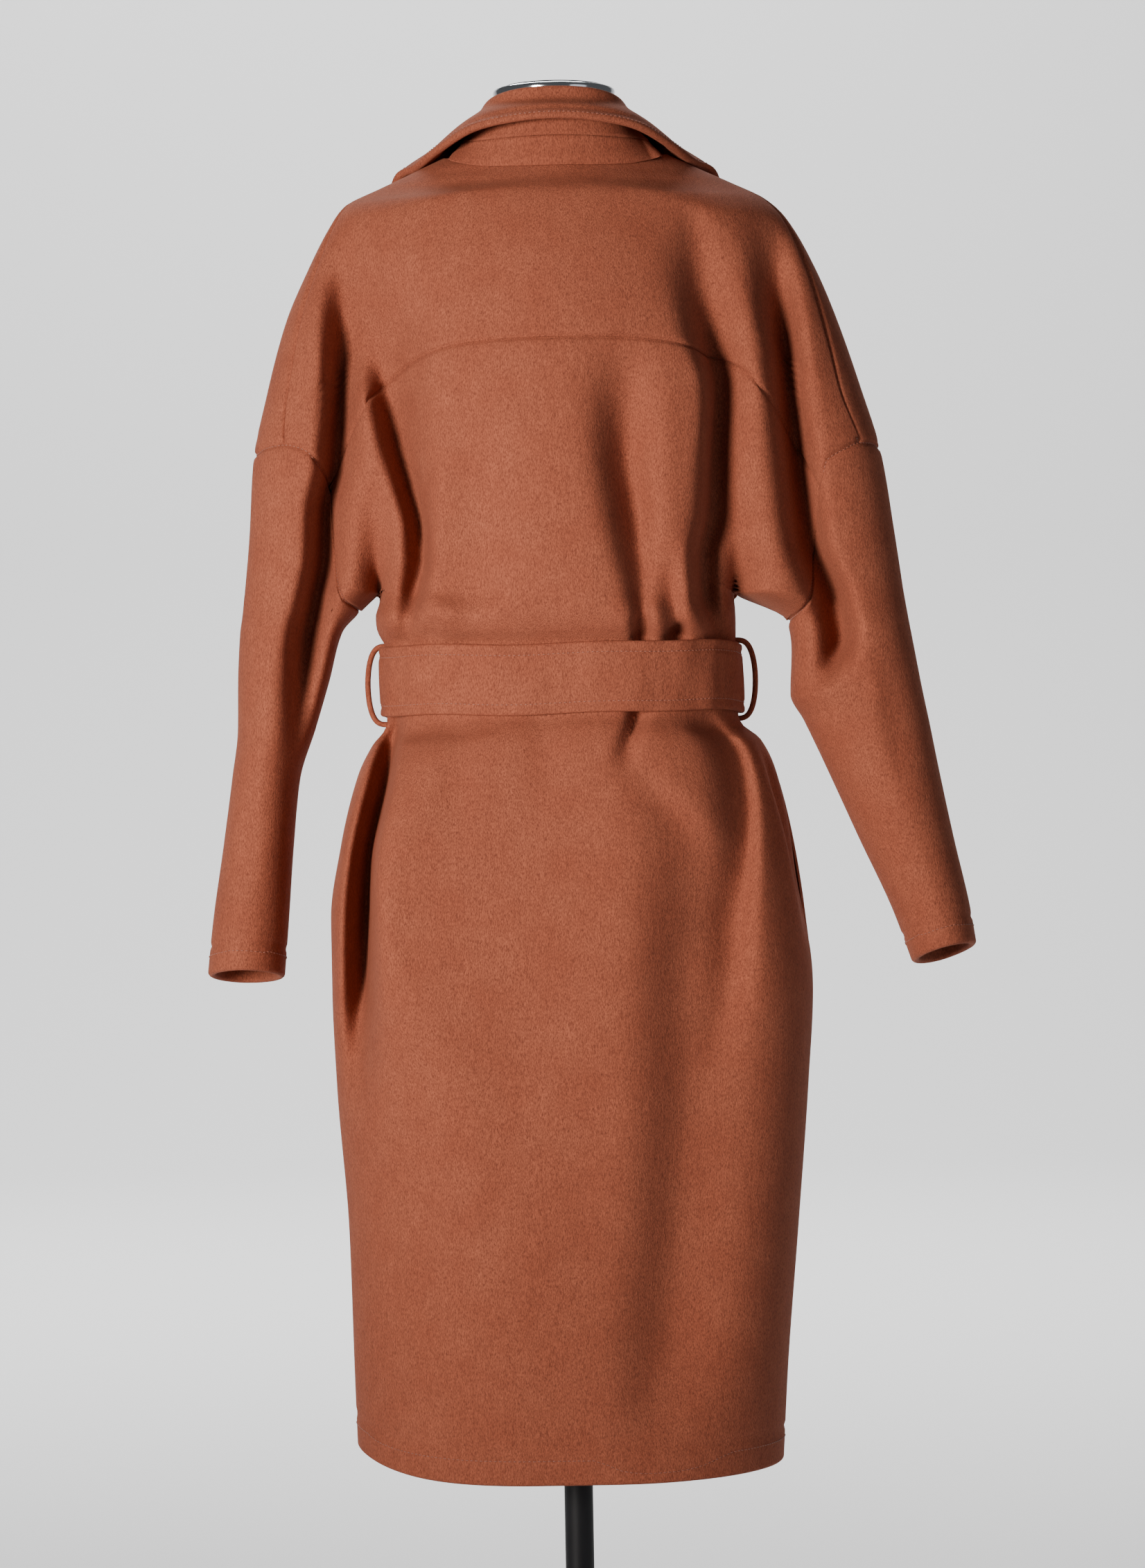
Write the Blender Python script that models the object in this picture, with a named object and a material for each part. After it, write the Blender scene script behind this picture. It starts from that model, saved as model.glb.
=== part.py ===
"""A long belted wool coat with low batwing sleeves, on a limbless dress form with a pole and a round base.

Metres, +Z up. The coat's front faces -Y and the wearer's left is +X. The origin is the middle of the base's
underside. The coat is drawn as a back sheet and a front sheet that meet round its outline. Every panel is a
piece of these two sheets, cut along the coat's seams and given the cloth's thickness.
"""

import bpy
import numpy as np

for old in list(bpy.data.objects):
    bpy.data.objects.remove(old)

# Driving dimensions
CLOTH = 0.003
SEAM_GAP = 0.0003
HEM_Z = 0.342
HEM_SIDE_Z = {"left": 0.360, "right": 0.343}
BELT_BOTTOM_Z = 0.968
BELT_TOP_Z = 1.026
BELT_THICKNESS = 0.0045
BELT_CLEARANCE = 0.0008
WRAP_LIFT = 0.008
LAP_FROM_X = -0.115
LAP_EASE = 0.045
LAP_TOP_Z = 1.40
LAP_TOP_EASE = 0.08
BELT_LAP_REACH = 0.140
LEFT_FRONT_EDGE = -0.060
RIGHT_FRONT_EDGE = 0.085
PINCH_HEIGHT = 0.19
PINCH_ROUND = 0.050
ARM_JOIN = 0.030
CUFF_TILT = 0.007
SHARP_DEGREES = 40

# Colours, as linear RGB
RUST_WOOL = (0.235, 0.071, 0.033, 1.0)
LINEN = (0.62, 0.54, 0.42, 1.0)
CHROME = (0.75, 0.76, 0.78, 1.0)
BLACK_PAINT = (0.012, 0.012, 0.014, 1.0)

# The trunk below the armpits, hem to armpit: half-widths to each side, depths to back and front,
# and the radius of the turn at the sides.
TRUNK_COLUMNS = ("z", "left", "right", "back", "front", "turn")
TRUNK = (
    (0.342, 0.1835, 0.1720, 0.136, 0.132, 0.150),
    (0.420, 0.1855, 0.1770, 0.137, 0.134, 0.150),
    (0.540, 0.1880, 0.1880, 0.139, 0.137, 0.155),
    (0.660, 0.1960, 0.1985, 0.141, 0.140, 0.160),
    (0.740, 0.1985, 0.2035, 0.141, 0.140, 0.160),
    (0.800, 0.1985, 0.1985, 0.139, 0.138, 0.160),
    (0.860, 0.1895, 0.1900, 0.134, 0.134, 0.155),
    (0.920, 0.1740, 0.1755, 0.124, 0.126, 0.145),
    (0.946, 0.1610, 0.1630, 0.114, 0.117, 0.135),
    (0.960, 0.1490, 0.1450, 0.105, 0.108, 0.125),
    (1.030, 0.1490, 0.1440, 0.105, 0.108, 0.120),
    (1.040, 0.1555, 0.1442, 0.110, 0.112, 0.100),
    (1.050, 0.1570, 0.1440, 0.117, 0.118, 0.080),
    (1.064, 0.1535, 0.1432, 0.125, 0.124, 0.052),
    (1.0726, 0.1522, 0.1430, 0.128, 0.126, 0.050),
)

# The coat above the armpits, with the upper arms in it: outer half-widths, depths at the middle of the
# back and front, the arms' half-depth, the width of the trunk's swell, and the turn of the outer edge.
UPPER_COLUMNS = ("z", "left", "right", "back", "front", "arm", "swell", "turn")
UPPER = (
    (1.0600, 0.2675, 0.2860, 0.128, 0.126, 0.060, 0.23, 0.055),
    (1.1200, 0.2615, 0.2780, 0.131, 0.131, 0.062, 0.23, 0.055),
    (1.1800, 0.2575, 0.2690, 0.131, 0.134, 0.062, 0.23, 0.055),
    (1.2400, 0.2445, 0.2515, 0.128, 0.133, 0.062, 0.23, 0.056),
    (1.3000, 0.2275, 0.2315, 0.121, 0.127, 0.060, 0.22, 0.058),
    (1.3400, 0.2100, 0.2150, 0.113, 0.118, 0.058, 0.21, 0.060),
    (1.3800, 0.1890, 0.1925, 0.100, 0.107, 0.056, 0.20, 0.062),
    (1.3960, 0.1770, 0.1760, 0.093, 0.101, 0.054, 0.19, 0.064),
    (1.4120, 0.1440, 0.1440, 0.075, 0.090, 0.050, 0.18, 0.060),
    (1.4240, 0.1180, 0.1180, 0.068, 0.082, 0.048, 0.17, 0.060),
    (1.4400, 0.0880, 0.0880, 0.062, 0.074, 0.046, 0.16, 0.060),
    (1.4700, 0.0700, 0.0700, 0.058, 0.068, 0.046, 0.16, 0.060),
)

# The hanging sleeves, cuff to armpit: outer and inner edges, half-depth and set-back of the middle.
SLEEVE_COLUMNS = ("z", "outer", "inner", "depth", "middle")
LEFT_SLEEVE = (
    (0.740, 0.3050, 0.2400, 0.046, -0.010),
    (0.800, 0.2980, 0.2345, 0.049, -0.009),
    (0.860, 0.2885, 0.2295, 0.053, -0.008),
    (0.920, 0.2795, 0.2225, 0.057, -0.006),
    (0.960, 0.2740, 0.2090, 0.059, -0.004),
    (1.000, 0.2730, 0.1965, 0.060, -0.002),
    (1.040, 0.2705, 0.1850, 0.060, 0.000),
    (1.0573, 0.2680, 0.1691, 0.060, 0.000),
    (1.0726, 0.2664, 0.1530, 0.060, 0.000),
)
RIGHT_SLEEVE = (
    (0.740, 0.3460, 0.2930, 0.046, -0.010),
    (0.800, 0.3370, 0.2720, 0.049, -0.009),
    (0.860, 0.3240, 0.2450, 0.053, -0.008),
    (0.920, 0.3120, 0.2185, 0.057, -0.006),
    (0.960, 0.3045, 0.2000, 0.059, -0.004),
    (0.982, 0.3000, 0.1890, 0.060, -0.002),
    (1.020, 0.2930, 0.1905, 0.060, 0.000),
    (1.0428, 0.2890, 0.1874, 0.060, 0.000),
    (1.0662, 0.2852, 0.1440, 0.060, 0.000),
)

# The seam that joins a sleeve to the body, from the outline of the arm round to the armpit: distance out
# from the middle of the coat and height. The shoulder seam and the yoke seam run into it at two places.
SEAM_COLUMNS = ("x", "z")
LEFT_SEAM = (
    (0.2555, 1.1890),
    (0.2440, 1.1935),
    (0.2290, 1.1946),
    (0.2130, 1.1900),
    (0.2000, 1.1790),
    (0.1930, 1.1600),
    (0.1915, 1.1250),
    (0.1885, 1.0850),
    (0.1810, 1.0650),
    (0.1691, 1.0573),
)
RIGHT_SEAM = (
    (0.2680, 1.1860),
    (0.2600, 1.1890),
    (0.2490, 1.1885),
    (0.2340, 1.1820),
    (0.2190, 1.1720),
    (0.2125, 1.1500),
    (0.2110, 1.1120),
    (0.2090, 1.0760),
    (0.2010, 1.0530),
    (0.1874, 1.0428),
)
SHOULDER_SEAM_AT = 2
YOKE_SEAM_AT = 5
SEAM_STEPS = (0, 1, 2, 3, 3.5, 4, 4.5, 5, 5.6, 6.3, 7, 7.5, 8, 9)

# The large folds of the sheets. A fold runs down through three places (signed x, z), is so deep, is so
# wide towards and away from the wearer's left, and fades in and out over a share of its length.
FOLD_COLUMNS = (
    "sheet", "x_top", "z_top", "x_mid", "z_mid", "x_end", "z_end",
    "depth", "left_width", "right_width", "fade_in", "fade_out",
)
FOLDS = (
    ("back", 0.176, 1.420, 0.191, 1.130, 0.222, 0.880, 0.042, 0.017, 0.022, 0.50, 0.45),
    ("back", -0.184, 1.420, -0.203, 1.160, -0.207, 0.965, 0.042, 0.022, 0.017, 0.50, 0.35),
    ("back", 0.148, 1.340, 0.126, 1.150, 0.133, 0.980, 0.028, 0.021, 0.018, 0.45, 0.40),
    ("back", -0.118, 1.370, -0.133, 1.190, -0.137, 0.980, 0.032, 0.018, 0.022, 0.45, 0.40),
    ("back", -0.048, 1.260, -0.050, 1.150, -0.066, 0.990, 0.009, 0.024, 0.024, 0.40, 0.30),
    ("back", -0.098, 1.110, -0.098, 1.060, -0.102, 0.985, 0.010, 0.018, 0.018, 0.40, 0.20),
    ("back", 0.076, 1.240, 0.070, 1.130, 0.085, 0.985, 0.007, 0.024, 0.024, 0.40, 0.30),
    ("back", -0.052, 0.990, -0.062, 0.930, -0.080, 0.740, 0.013, 0.016, 0.022, 0.10, 0.80),
    ("back", -0.075, 0.860, -0.086, 0.640, -0.070, 0.380, 0.011, 0.034, 0.028, 0.40, 0.50),
    ("back", -0.112, 0.990, -0.140, 0.900, -0.144, 0.640, 0.015, 0.018, 0.016, 0.10, 0.60),
    ("back", 0.166, 0.985, 0.171, 0.860, 0.174, 0.680, 0.026, 0.030, 0.015, 0.15, 0.60),
    ("front", 0.176, 1.370, 0.190, 1.140, 0.205, 0.900, 0.028, 0.020, 0.024, 0.45, 0.40),
    ("front", -0.184, 1.370, -0.200, 1.150, -0.210, 0.930, 0.028, 0.024, 0.020, 0.45, 0.40),
    ("front", 0.130, 1.260, 0.126, 1.120, 0.122, 0.980, 0.018, 0.022, 0.022, 0.45, 0.35),
    ("front", -0.130, 1.260, -0.126, 1.120, -0.122, 0.980, 0.018, 0.022, 0.022, 0.45, 0.35),
    ("front", 0.120, 0.990, 0.128, 0.860, 0.130, 0.560, 0.013, 0.024, 0.024, 0.12, 0.70),
    ("front", -0.110, 0.990, -0.122, 0.840, -0.126, 0.520, 0.014, 0.024, 0.024, 0.12, 0.70),
)


def smooth_through(at, value):
    """The smooth curve through values at rising places, without overshoot."""
    chord = np.diff(value) / np.diff(at)
    slope = np.zeros(len(at))
    slope[0], slope[-1] = chord[0], chord[-1]
    same_way = chord[:-1] * chord[1:] > 0
    total = np.where(same_way, chord[:-1] + chord[1:], 1.0)
    slope[1:-1] = np.where(same_way, 2 * chord[:-1] * chord[1:] / total, 0.0)

    def at_height(z):
        z = np.clip(z, at[0], at[-1])
        i = np.clip(np.searchsorted(at, z, side="right") - 1, 0, len(at) - 2)
        span = at[i + 1] - at[i]
        t = (z - at[i]) / span
        return (
            (1 + 2 * t) * (1 - t) ** 2 * value[i]
            + t * (1 - t) ** 2 * span * slope[i]
            + t * t * (3 - 2 * t) * value[i + 1]
            + t * t * (t - 1) * span * slope[i + 1]
        )

    return at_height


def curves(columns, table):
    """A smooth curve for each column of a table, over its first column."""
    rows = np.array(table)
    return {name: smooth_through(rows[:, 0], rows[:, i]) for i, name in enumerate(columns) if i > 0}


def ease(t):
    """Rises smoothly from 0 to 1 as t does."""
    t = np.clip(t, 0.0, 1.0)
    return t * t * (3 - 2 * t)


def turn(distance, radius):
    """Height of a quarter-round edge, as a share of the full depth, at a distance in from the edge."""
    inside = np.clip(distance / radius, 0.0, 1.0)
    return np.sqrt(np.clip(1 - (1 - inside) ** 2, 0.0, 1.0))


TRUNK_AT = curves(TRUNK_COLUMNS, TRUNK)
UPPER_AT = curves(UPPER_COLUMNS, UPPER)
SIDES = {
    name: {"sign": sign, "sleeve": curves(SLEEVE_COLUMNS, sleeve), "armpit": sleeve[-1], "seam": seam}
    for name, sign, sleeve, seam in (
        ("left", 1, LEFT_SLEEVE, LEFT_SEAM),
        ("right", -1, RIGHT_SLEEVE, RIGHT_SEAM),
    )
}


def slope_of(curve, z):
    """Slope of a curve at a height, from its values a little above and below."""
    step = 0.001
    return (curve(z + step) - curve(z - step)) / (2 * step)


def edge_distance(gap, curve, z):
    """Distance from an outline, measured square to it, where gap is the level distance."""
    return gap / np.sqrt(1 + slope_of(curve, z) ** 2)


def fold_depth(sheet, x, z):
    """How far the large folds sink a sheet at each place."""
    total = np.zeros_like(x)
    for row in FOLDS:
        fold = dict(zip(FOLD_COLUMNS, row))
        if fold["sheet"] != sheet:
            continue
        path = np.polyfit(
            [fold["z_top"], fold["z_mid"], fold["z_end"]],
            [fold["x_top"], fold["x_mid"], fold["x_end"]],
            2,
        )
        across = x - np.polyval(path, np.clip(z, fold["z_end"], fold["z_top"]))
        width = np.where(across > 0, fold["left_width"], fold["right_width"])
        along = (fold["z_top"] - z) / (fold["z_top"] - fold["z_end"])
        strength = ease(along / fold["fade_in"]) * ease((1 - along) / fold["fade_out"])
        total += fold["depth"] * strength * np.exp(-((across / width) ** 2))
    return total


def sheet_y(sheet, x, z, away=0.0):
    """Depth (y) of the back or front sheet at signed x and height z.

    away keeps a place that far inside the outline, so that the sheet has a slope there.
    """
    x, z = np.broadcast_arrays(np.asarray(x, float), np.asarray(z, float))
    result = np.zeros(x.shape)
    for name, side in SIDES.items():
        here = x * side["sign"] >= 0
        if not here.any():
            continue
        result[here] = half_sheet_y(sheet, name, np.abs(x[here]), z[here], away)
    sunk = fold_depth(sheet, x, z) * edge_share(x, z, away)
    return result - sunk if sheet == "back" else sunk - result


def edge_share(x, z, away=0.0):
    """Share of the full depth that the turned outline leaves: 0 on the outline, 1 well inside."""
    x, z = np.broadcast_arrays(np.asarray(x, float), np.asarray(z, float))
    share = np.zeros(x.shape)
    for name, side in SIDES.items():
        here = x * side["sign"] >= 0
        if here.any():
            share[here] = half_edge_share(name, np.abs(x[here]), z[here], away)
    return share


def half_edge_share(name, x, z, away):
    """The same share on one side of the coat, where x is the distance out from the middle."""
    side = SIDES[name]
    pit_z, pit_x = side["armpit"][0], side["armpit"][2]
    outer, inner = side["sleeve"]["outer"], side["sleeve"]["inner"]
    trunk, upper = TRUNK_AT[name], UPPER_AT[name]
    in_sleeve = (z < pit_z) & (x > 0.5 * (trunk(z) + inner(z)))
    half = np.minimum(0.5 * (outer(z) - inner(z)), UPPER_AT["turn"](z))
    sleeve = turn(edge_distance(outer(z) - x, outer, z) + away, half) * turn(
        edge_distance(x - inner(z), inner, z) + away, np.minimum(half, PINCH_ROUND)
    )
    body = turn(edge_distance(trunk(z) - x, trunk, z) + away, TRUNK_AT["turn"](z))
    from_pit = np.hypot(x - pit_x, np.maximum(z - pit_z, 0.0) * PINCH_ROUND / PINCH_HEIGHT)
    whole = turn(edge_distance(upper(z) - x, upper, z) + away, UPPER_AT["turn"](z))
    above = whole * turn(from_pit + away, PINCH_ROUND)
    return np.where(z >= pit_z, above, np.where(in_sleeve, sleeve, body))


def half_sheet_y(sheet, name, x, z, away):
    """Depth of one half of a sheet before its folds, as a positive number."""
    side = SIDES[name]
    pit_z = side["armpit"][0]
    inner, trunk = side["sleeve"]["inner"], TRUNK_AT[name]
    reach = np.clip(np.abs(x) / UPPER_AT["swell"](z), 0.0, 1.0)
    swell = (1 - reach**2) ** 2
    arm = UPPER_AT["arm"](z)
    upper = arm + (UPPER_AT[sheet](z) - arm) * swell
    blend = ease((z - (pit_z - ARM_JOIN)) / ARM_JOIN)
    body = TRUNK_AT[sheet](z) * (1 - blend) + upper * blend
    in_sleeve = (z < pit_z) & (x > 0.5 * (trunk(z) + inner(z)))
    sleeve = side["sleeve"]["depth"](z) * (1 - blend) + upper * blend
    depth = np.where(z >= pit_z, upper, np.where(in_sleeve, sleeve, body))
    middle = np.where(in_sleeve, side["sleeve"]["middle"](z), 0.0)
    toward = 1 if sheet == "back" else -1
    return depth * half_edge_share(name, x, z, away) + toward * middle


def sheet_points(x, z, toward, lift=0.0):
    """Outer points and outward normals of the sheets; toward is 1 on the back sheet and -1 on the front."""
    step, away, thin = 0.0003, 0.00003, 0.006

    def near(dx, dz):
        back = sheet_y("back", x + dx, z + dz, away)
        front = sheet_y("front", x + dx, z + dz, away)
        return np.where(toward > 0, back, front), back - front

    def slope(dx, dz):
        here, _ = near(0, 0)
        ahead, room_ahead = near(dx, dz)
        behind, room_behind = near(-dx, -dz)
        one_sided = np.where(room_ahead > room_behind, ahead - here, here - behind) / step
        return np.where(outline, one_sided, (ahead - behind) / (2 * step))

    back, front = sheet_y("back", x, z), sheet_y("front", x, z)
    outline = back - front < thin
    level = np.where(back - front < step, 0.0, 1.0)
    normal = np.stack([-slope(step, 0), level, -slope(0, step)], axis=-1) * toward[..., None]
    for side in SIDES.values():
        pit_z, pit_x = side["armpit"][0], side["armpit"][2] * side["sign"]
        normal[np.hypot(x - pit_x, z - pit_z) < 2 * step] = (0, 0, -1)
    normal /= np.linalg.norm(normal, axis=-1, keepdims=True)
    points = np.stack([x, np.where(toward > 0, back, front), z], axis=-1)
    return points + normal * np.asarray(lift)[..., None], normal


def material(name, colour, roughness, metallic):
    """A plain finish for one object."""
    made = bpy.data.materials.new(name)
    made.use_nodes = True
    shader = made.node_tree.nodes["Principled BSDF"]
    shader.inputs["Base Color"].default_value = colour
    shader.inputs["Roughness"].default_value = roughness
    shader.inputs["Metallic"].default_value = metallic
    return made


def add_object(name, points, faces, finish):
    """One named object from points and faces, smooth but for its sharp edges."""
    mesh = bpy.data.meshes.new(name)
    mesh.from_pydata(np.asarray(points).reshape(-1, 3).tolist(), [], faces)
    mesh.materials.append(finish)
    mesh.validate()
    mesh.shade_smooth()
    mesh.set_sharp_from_angle(angle=np.radians(SHARP_DEGREES))
    made = bpy.data.objects.new(name, mesh)
    bpy.context.scene.collection.objects.link(made)
    return made


def grid_faces(grid, closed):
    """Triangles of a grid of points, closed round if asked, each square split along its shorter diagonal."""
    rows, columns = grid.shape[:2]
    flat = grid.reshape(-1, 3)
    faces = []
    for i in range(rows - 1):
        for j in range(columns if closed else columns - 1):
            k = (j + 1) % columns
            a, b = i * columns + j, (i + 1) * columns + j
            c, d = (i + 1) * columns + k, i * columns + k
            if np.linalg.norm(flat[a] - flat[c]) < np.linalg.norm(flat[b] - flat[d]):
                faces += [(a, b, c), (a, c, d)]
            else:
                faces += [(a, b, d), (b, c, d)]
    return faces


def rim_faces(pairs, size, flipped):
    """Cut edge between the outer and the inner points along a line: a pair of numbers for each step.

    Each step is split along the line from its first outer point, so that two panels that share a seam match.
    """
    faces = []
    for first, second in pairs:
        for corner in ((size + second, size + first, first), (size + second, first, second)):
            faces.append(corner[::-1] if flipped else corner)
    return faces


def wall(name, outer, inner, finish, closed=False):
    """A closed cloth wall between two grids of points: outer faces, inner faces and the cut edges."""
    rows, columns = outer.shape[:2]
    size, last = rows * columns, (rows - 1) * columns
    faces = grid_faces(outer, closed)
    faces += [tuple(size + n for n in face[::-1]) for face in faces]
    if closed:
        half = columns // 2
        there = [(j, j + 1) for j in range(half)]
        back_again = [((j + 1) % columns, j) for j in range(half, columns)]
        faces += rim_faces(there, size, False) + rim_faces(back_again, size, True)
        faces += rim_faces([(last + j, last + (j + 1) % columns) for j in range(columns)], size, True)
    else:
        across = [(j, j + 1) for j in range(columns - 1)]
        down = [(i * columns, (i + 1) * columns) for i in range(rows - 1)]
        far = columns - 1
        faces += rim_faces(across, size, False)
        faces += rim_faces([(last + j, last + k) for j, k in across], size, True)
        faces += rim_faces(down, size, True)
        faces += rim_faces([(far + j, far + k) for j, k in down], size, False)
    points = np.concatenate([outer.reshape(-1, 3), inner.reshape(-1, 3)])
    return face_out(add_object(name, points, faces, finish))


def face_out(made):
    """Turns the faces of a closed mesh outwards if its volume comes out negative."""
    mesh = made.data
    mesh.calc_loop_triangles()
    corners = np.array([[mesh.vertices[v].co for v in t.vertices] for t in mesh.loop_triangles])
    if np.einsum("ij,ij->i", corners[:, 0], np.cross(corners[:, 1], corners[:, 2])).sum() < 0:
        mesh.flip_normals()
    return made


def trim_seams(grid, edges):
    """Draws the named edges of a grid back by half a seam gap, along the grid's own lines."""
    grid = grid.copy()
    lines = {
        "top": (grid[0], grid[1]), "end": (grid[-1], grid[-2]),
        "start": (grid[:, 0], grid[:, 1]), "finish": (grid[:, -1], grid[:, -2]),
    }
    for edge in edges:
        rim, next_line = lines[edge]
        away = next_line - rim
        length = np.linalg.norm(away, axis=-1, keepdims=True)
        rim += away / np.maximum(length, 1e-9) * SEAM_GAP * 0.5
    return grid


def panel(name, x, z, toward, finish, seams, lift=0.0, closed=False):
    """A panel cut from the sheets, at the given places."""
    outer, normal = sheet_points(x, z, toward, np.broadcast_to(lift, x.shape))
    inner = outer - normal * CLOTH
    return wall(name, trim_seams(outer, seams), trim_seams(inner, seams), finish, closed)


# The rows of the yoke, neck to sleeve seam: height at the middle of the back, height at the shoulder seam,
# and how far that seam lies round on the back from the outline, as an angle.
YOKE_ROWS = (
    (1.4247, 1.4370, 0.10),
    (1.4080, 1.4245, 0.10),
    (1.3920, 1.4080, 0.12),
    (1.3740, 1.3850, 0.18),
    (1.3560, 1.3500, 0.26),
    (1.3380, 1.3100, 0.33),
    (1.3200, 1.2650, 0.38),
    (1.3040, 1.2250, 0.41),
)
YOKE_SEAM_ROWS = (1.293, 1.288, 1.284, 1.281, 1.2775, 1.274)
BACK_SEAM_ROWS = (1.274, 1.250, 1.224, 1.196, 1.172, 1.150, 1.126, 1.103, 1.082)
SIDE_SEAM_ROWS = (
    1.054, 1.042, 1.029, 1.012, 0.985, 0.960, 0.945, 0.915, 0.870, 0.815, 0.740, 0.640, 0.530, 0.430, HEM_Z,
)
# How far each row's steps are crowded towards its edges, as a share of a sine's spacing
YOKE_ROUNDED = (0.6,) * len(YOKE_ROWS) + (0.5, 0.35, 0.2, 0.1, 0.05, 0.0)
BACK_ROUNDED = (0.0, 0.0, 0.05, 0.1, 0.25, 0.5, 0.8, 1.0, 1.0) + (1.0,) * len(SIDE_SEAM_ROWS)
BACK_COLUMNS = 37
FRONT_COLUMNS = 15
EDGE_CROWDING = 1.35
SLEEVE_ROWS = 13


def rise(share):
    """How a row climbs from the middle of a panel to its edge: gently at first, then steeply."""
    return 0.1 * share**2 + 0.9 * share**5


def seam_points(name, first, last):
    """Places of a sleeve seam from one numbered row of its table to another, at the steps in between."""
    rows = np.array(SIDES[name]["seam"])
    order = np.arange(len(rows))
    along = [smooth_through(order, rows[:, axis]) for axis in range(len(SEAM_COLUMNS))]
    return [tuple(float(curve(step)) for curve in along) for step in SEAM_STEPS if first <= step <= last]


def shoulder_points(name):
    """Places of the shoulder seam, from the neck to the sleeve seam, out from the middle of the coat."""
    outline = UPPER_AT[name]
    places = [(float(outline(edge)) * np.cos(round_by), edge) for _, edge, round_by in YOKE_ROWS]
    return places + seam_points(name, SHOULDER_SEAM_AT, SHOULDER_SEAM_AT)


def armpit_points(name):
    """Places along the underside from the end of the sleeve seam to the top of the armpit."""
    side = SIDES[name]
    seam_end = side["seam"][-1]
    pit_z, pit_x = side["armpit"][0], side["armpit"][2]
    half_way = 0.5 * (seam_end[1] + pit_z)
    return [seam_end, (float(side["sleeve"]["inner"](half_way)), half_way), (pit_x, pit_z)]


def side_points(name):
    """Places down a side seam, from the armpit to the hem's own height at that side."""
    heights = list(SIDE_SEAM_ROWS[:-1]) + [HEM_SIDE_Z[name]]
    return [(float(TRUNK_AT[name](z)), z) for z in heights]


def across_back(left, right, middle_z, rounded):
    """Places of a back panel: each row runs from the left edge over the middle height to the right edge."""
    even_steps = np.linspace(1, -1, BACK_COLUMNS)
    share = np.sign(even_steps) * (1 - (1 - np.abs(even_steps)) ** EDGE_CROWDING)
    x = np.zeros((len(middle_z), BACK_COLUMNS))
    z = np.zeros_like(x)
    for i, middle in enumerate(middle_z):
        for edge, half in ((left[i], share >= 0), (right[i], share < 0)):
            along = np.abs(share[half])
            even = along * (1 - rounded[i]) + np.sin(along * np.pi / 2) * rounded[i]
            x[i, half] = np.sign(share[half]) * edge[0] * even
            z[i, half] = middle + (edge[1] - middle) * rise(even)
    return x, z


def wool(name):
    """The wool's finish for one piece of the coat."""
    return material(name + "_wool", RUST_WOOL, 0.9, 0.0)


# The yoke across the shoulder blades, from the neck seam to the curved yoke seam
yoke_left, yoke_right = (
    shoulder_points(name) + seam_points(name, SHOULDER_SEAM_AT, YOKE_SEAM_AT)[1:]
    for name in ("left", "right")
)
yoke_middle = [row[0] for row in YOKE_ROWS] + list(YOKE_SEAM_ROWS)
x, z = across_back(yoke_left, yoke_right, yoke_middle, YOKE_ROUNDED)
panel("back_yoke", x, z, np.ones_like(x), wool("back_yoke"), ("top", "end", "start", "finish"))

# The back from the yoke seam to the hem
back_left, back_right = (
    seam_points(name, YOKE_SEAM_AT, SEAM_STEPS[-2]) + armpit_points(name) + side_points(name)
    for name in ("left", "right")
)
back_middle = list(BACK_SEAM_ROWS) + list(SIDE_SEAM_ROWS)
x, z = across_back(back_left, back_right, back_middle, BACK_ROUNDED)
panel("back_panel", x, z, np.ones_like(x), wool("back_panel"), ("top", "start", "finish"))

# The two fronts, each from the shoulder seam over the arm and down to the hem; the right one laps over
NECK_EDGE_X = 0.076
FRONT_EDGE_SHARES = (
    0.0, 0.09, 0.19, 0.29, 0.38, 0.47, 0.55, 0.63, 0.70, 0.77, 0.83, 0.88, 0.93, 0.97, 1.0,
)
FRONT_EDGE_Z = (
    1.430, 1.411, 1.390, 1.369, 1.350, 1.332, 1.315, 1.299, 1.284, 1.270, 1.257, 1.245, 1.233,
    1.222, 1.212, 1.202, 1.192, 1.182, 1.171, 1.160, 1.149, 1.138, 1.126, 1.113, 1.099, 1.084,
)


def front_places(name, edge):
    """Places of a front panel: rows run from the shoulder, sleeve or side seam round to the front edge."""
    over = shoulder_points(name) + seam_points(name, 0, 1)[::-1]
    front_seam = seam_points(name, 1, SEAM_STEPS[-2])
    under = armpit_points(name) + side_points(name)
    starts = over + front_seam + under
    rows = len(starts)
    share = np.ones(rows)
    share[: len(FRONT_EDGE_SHARES)] = FRONT_EDGE_SHARES
    end_x = NECK_EDGE_X + (edge - NECK_EDGE_X) * share
    end_z = np.array(list(FRONT_EDGE_Z) + list(SIDE_SEAM_ROWS))
    along = np.linspace(0, 1, FRONT_COLUMNS)
    x, z, toward = np.zeros((3, rows, FRONT_COLUMNS))
    for i, (start_x, start_z) in enumerate(starts):
        z[i] = end_z[i] + (start_z - end_z[i]) * rise(1 - along)
        if i < len(over):
            width = UPPER_AT[name](z[i])
            first = np.arccos(np.clip(start_x / width[0], -1, 1))
            last = -np.arccos(end_x[i] / width[-1])
            angle = first + (last - first) * along
            x[i] = width * np.cos(angle)
            toward[i] = np.where(angle > 0, 1, -1)
        elif i < len(over) + len(front_seam):
            x[i] = start_x + (end_x[i] - start_x) * along
            toward[i] = -1
        else:
            x[i] = start_x * np.cos(np.arccos(end_x[i] / start_x) * along)
            toward[i] = -1
    return x * SIDES[name]["sign"], z, toward


def lap_lift(x, z, toward):
    """How far the right front stands off where it laps over the left one."""
    lift = WRAP_LIFT * ease((x - LAP_FROM_X) / LAP_EASE) * ease((LAP_TOP_Z - z) / LAP_TOP_EASE)
    return np.where(toward < 0, lift, 0.0)


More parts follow.
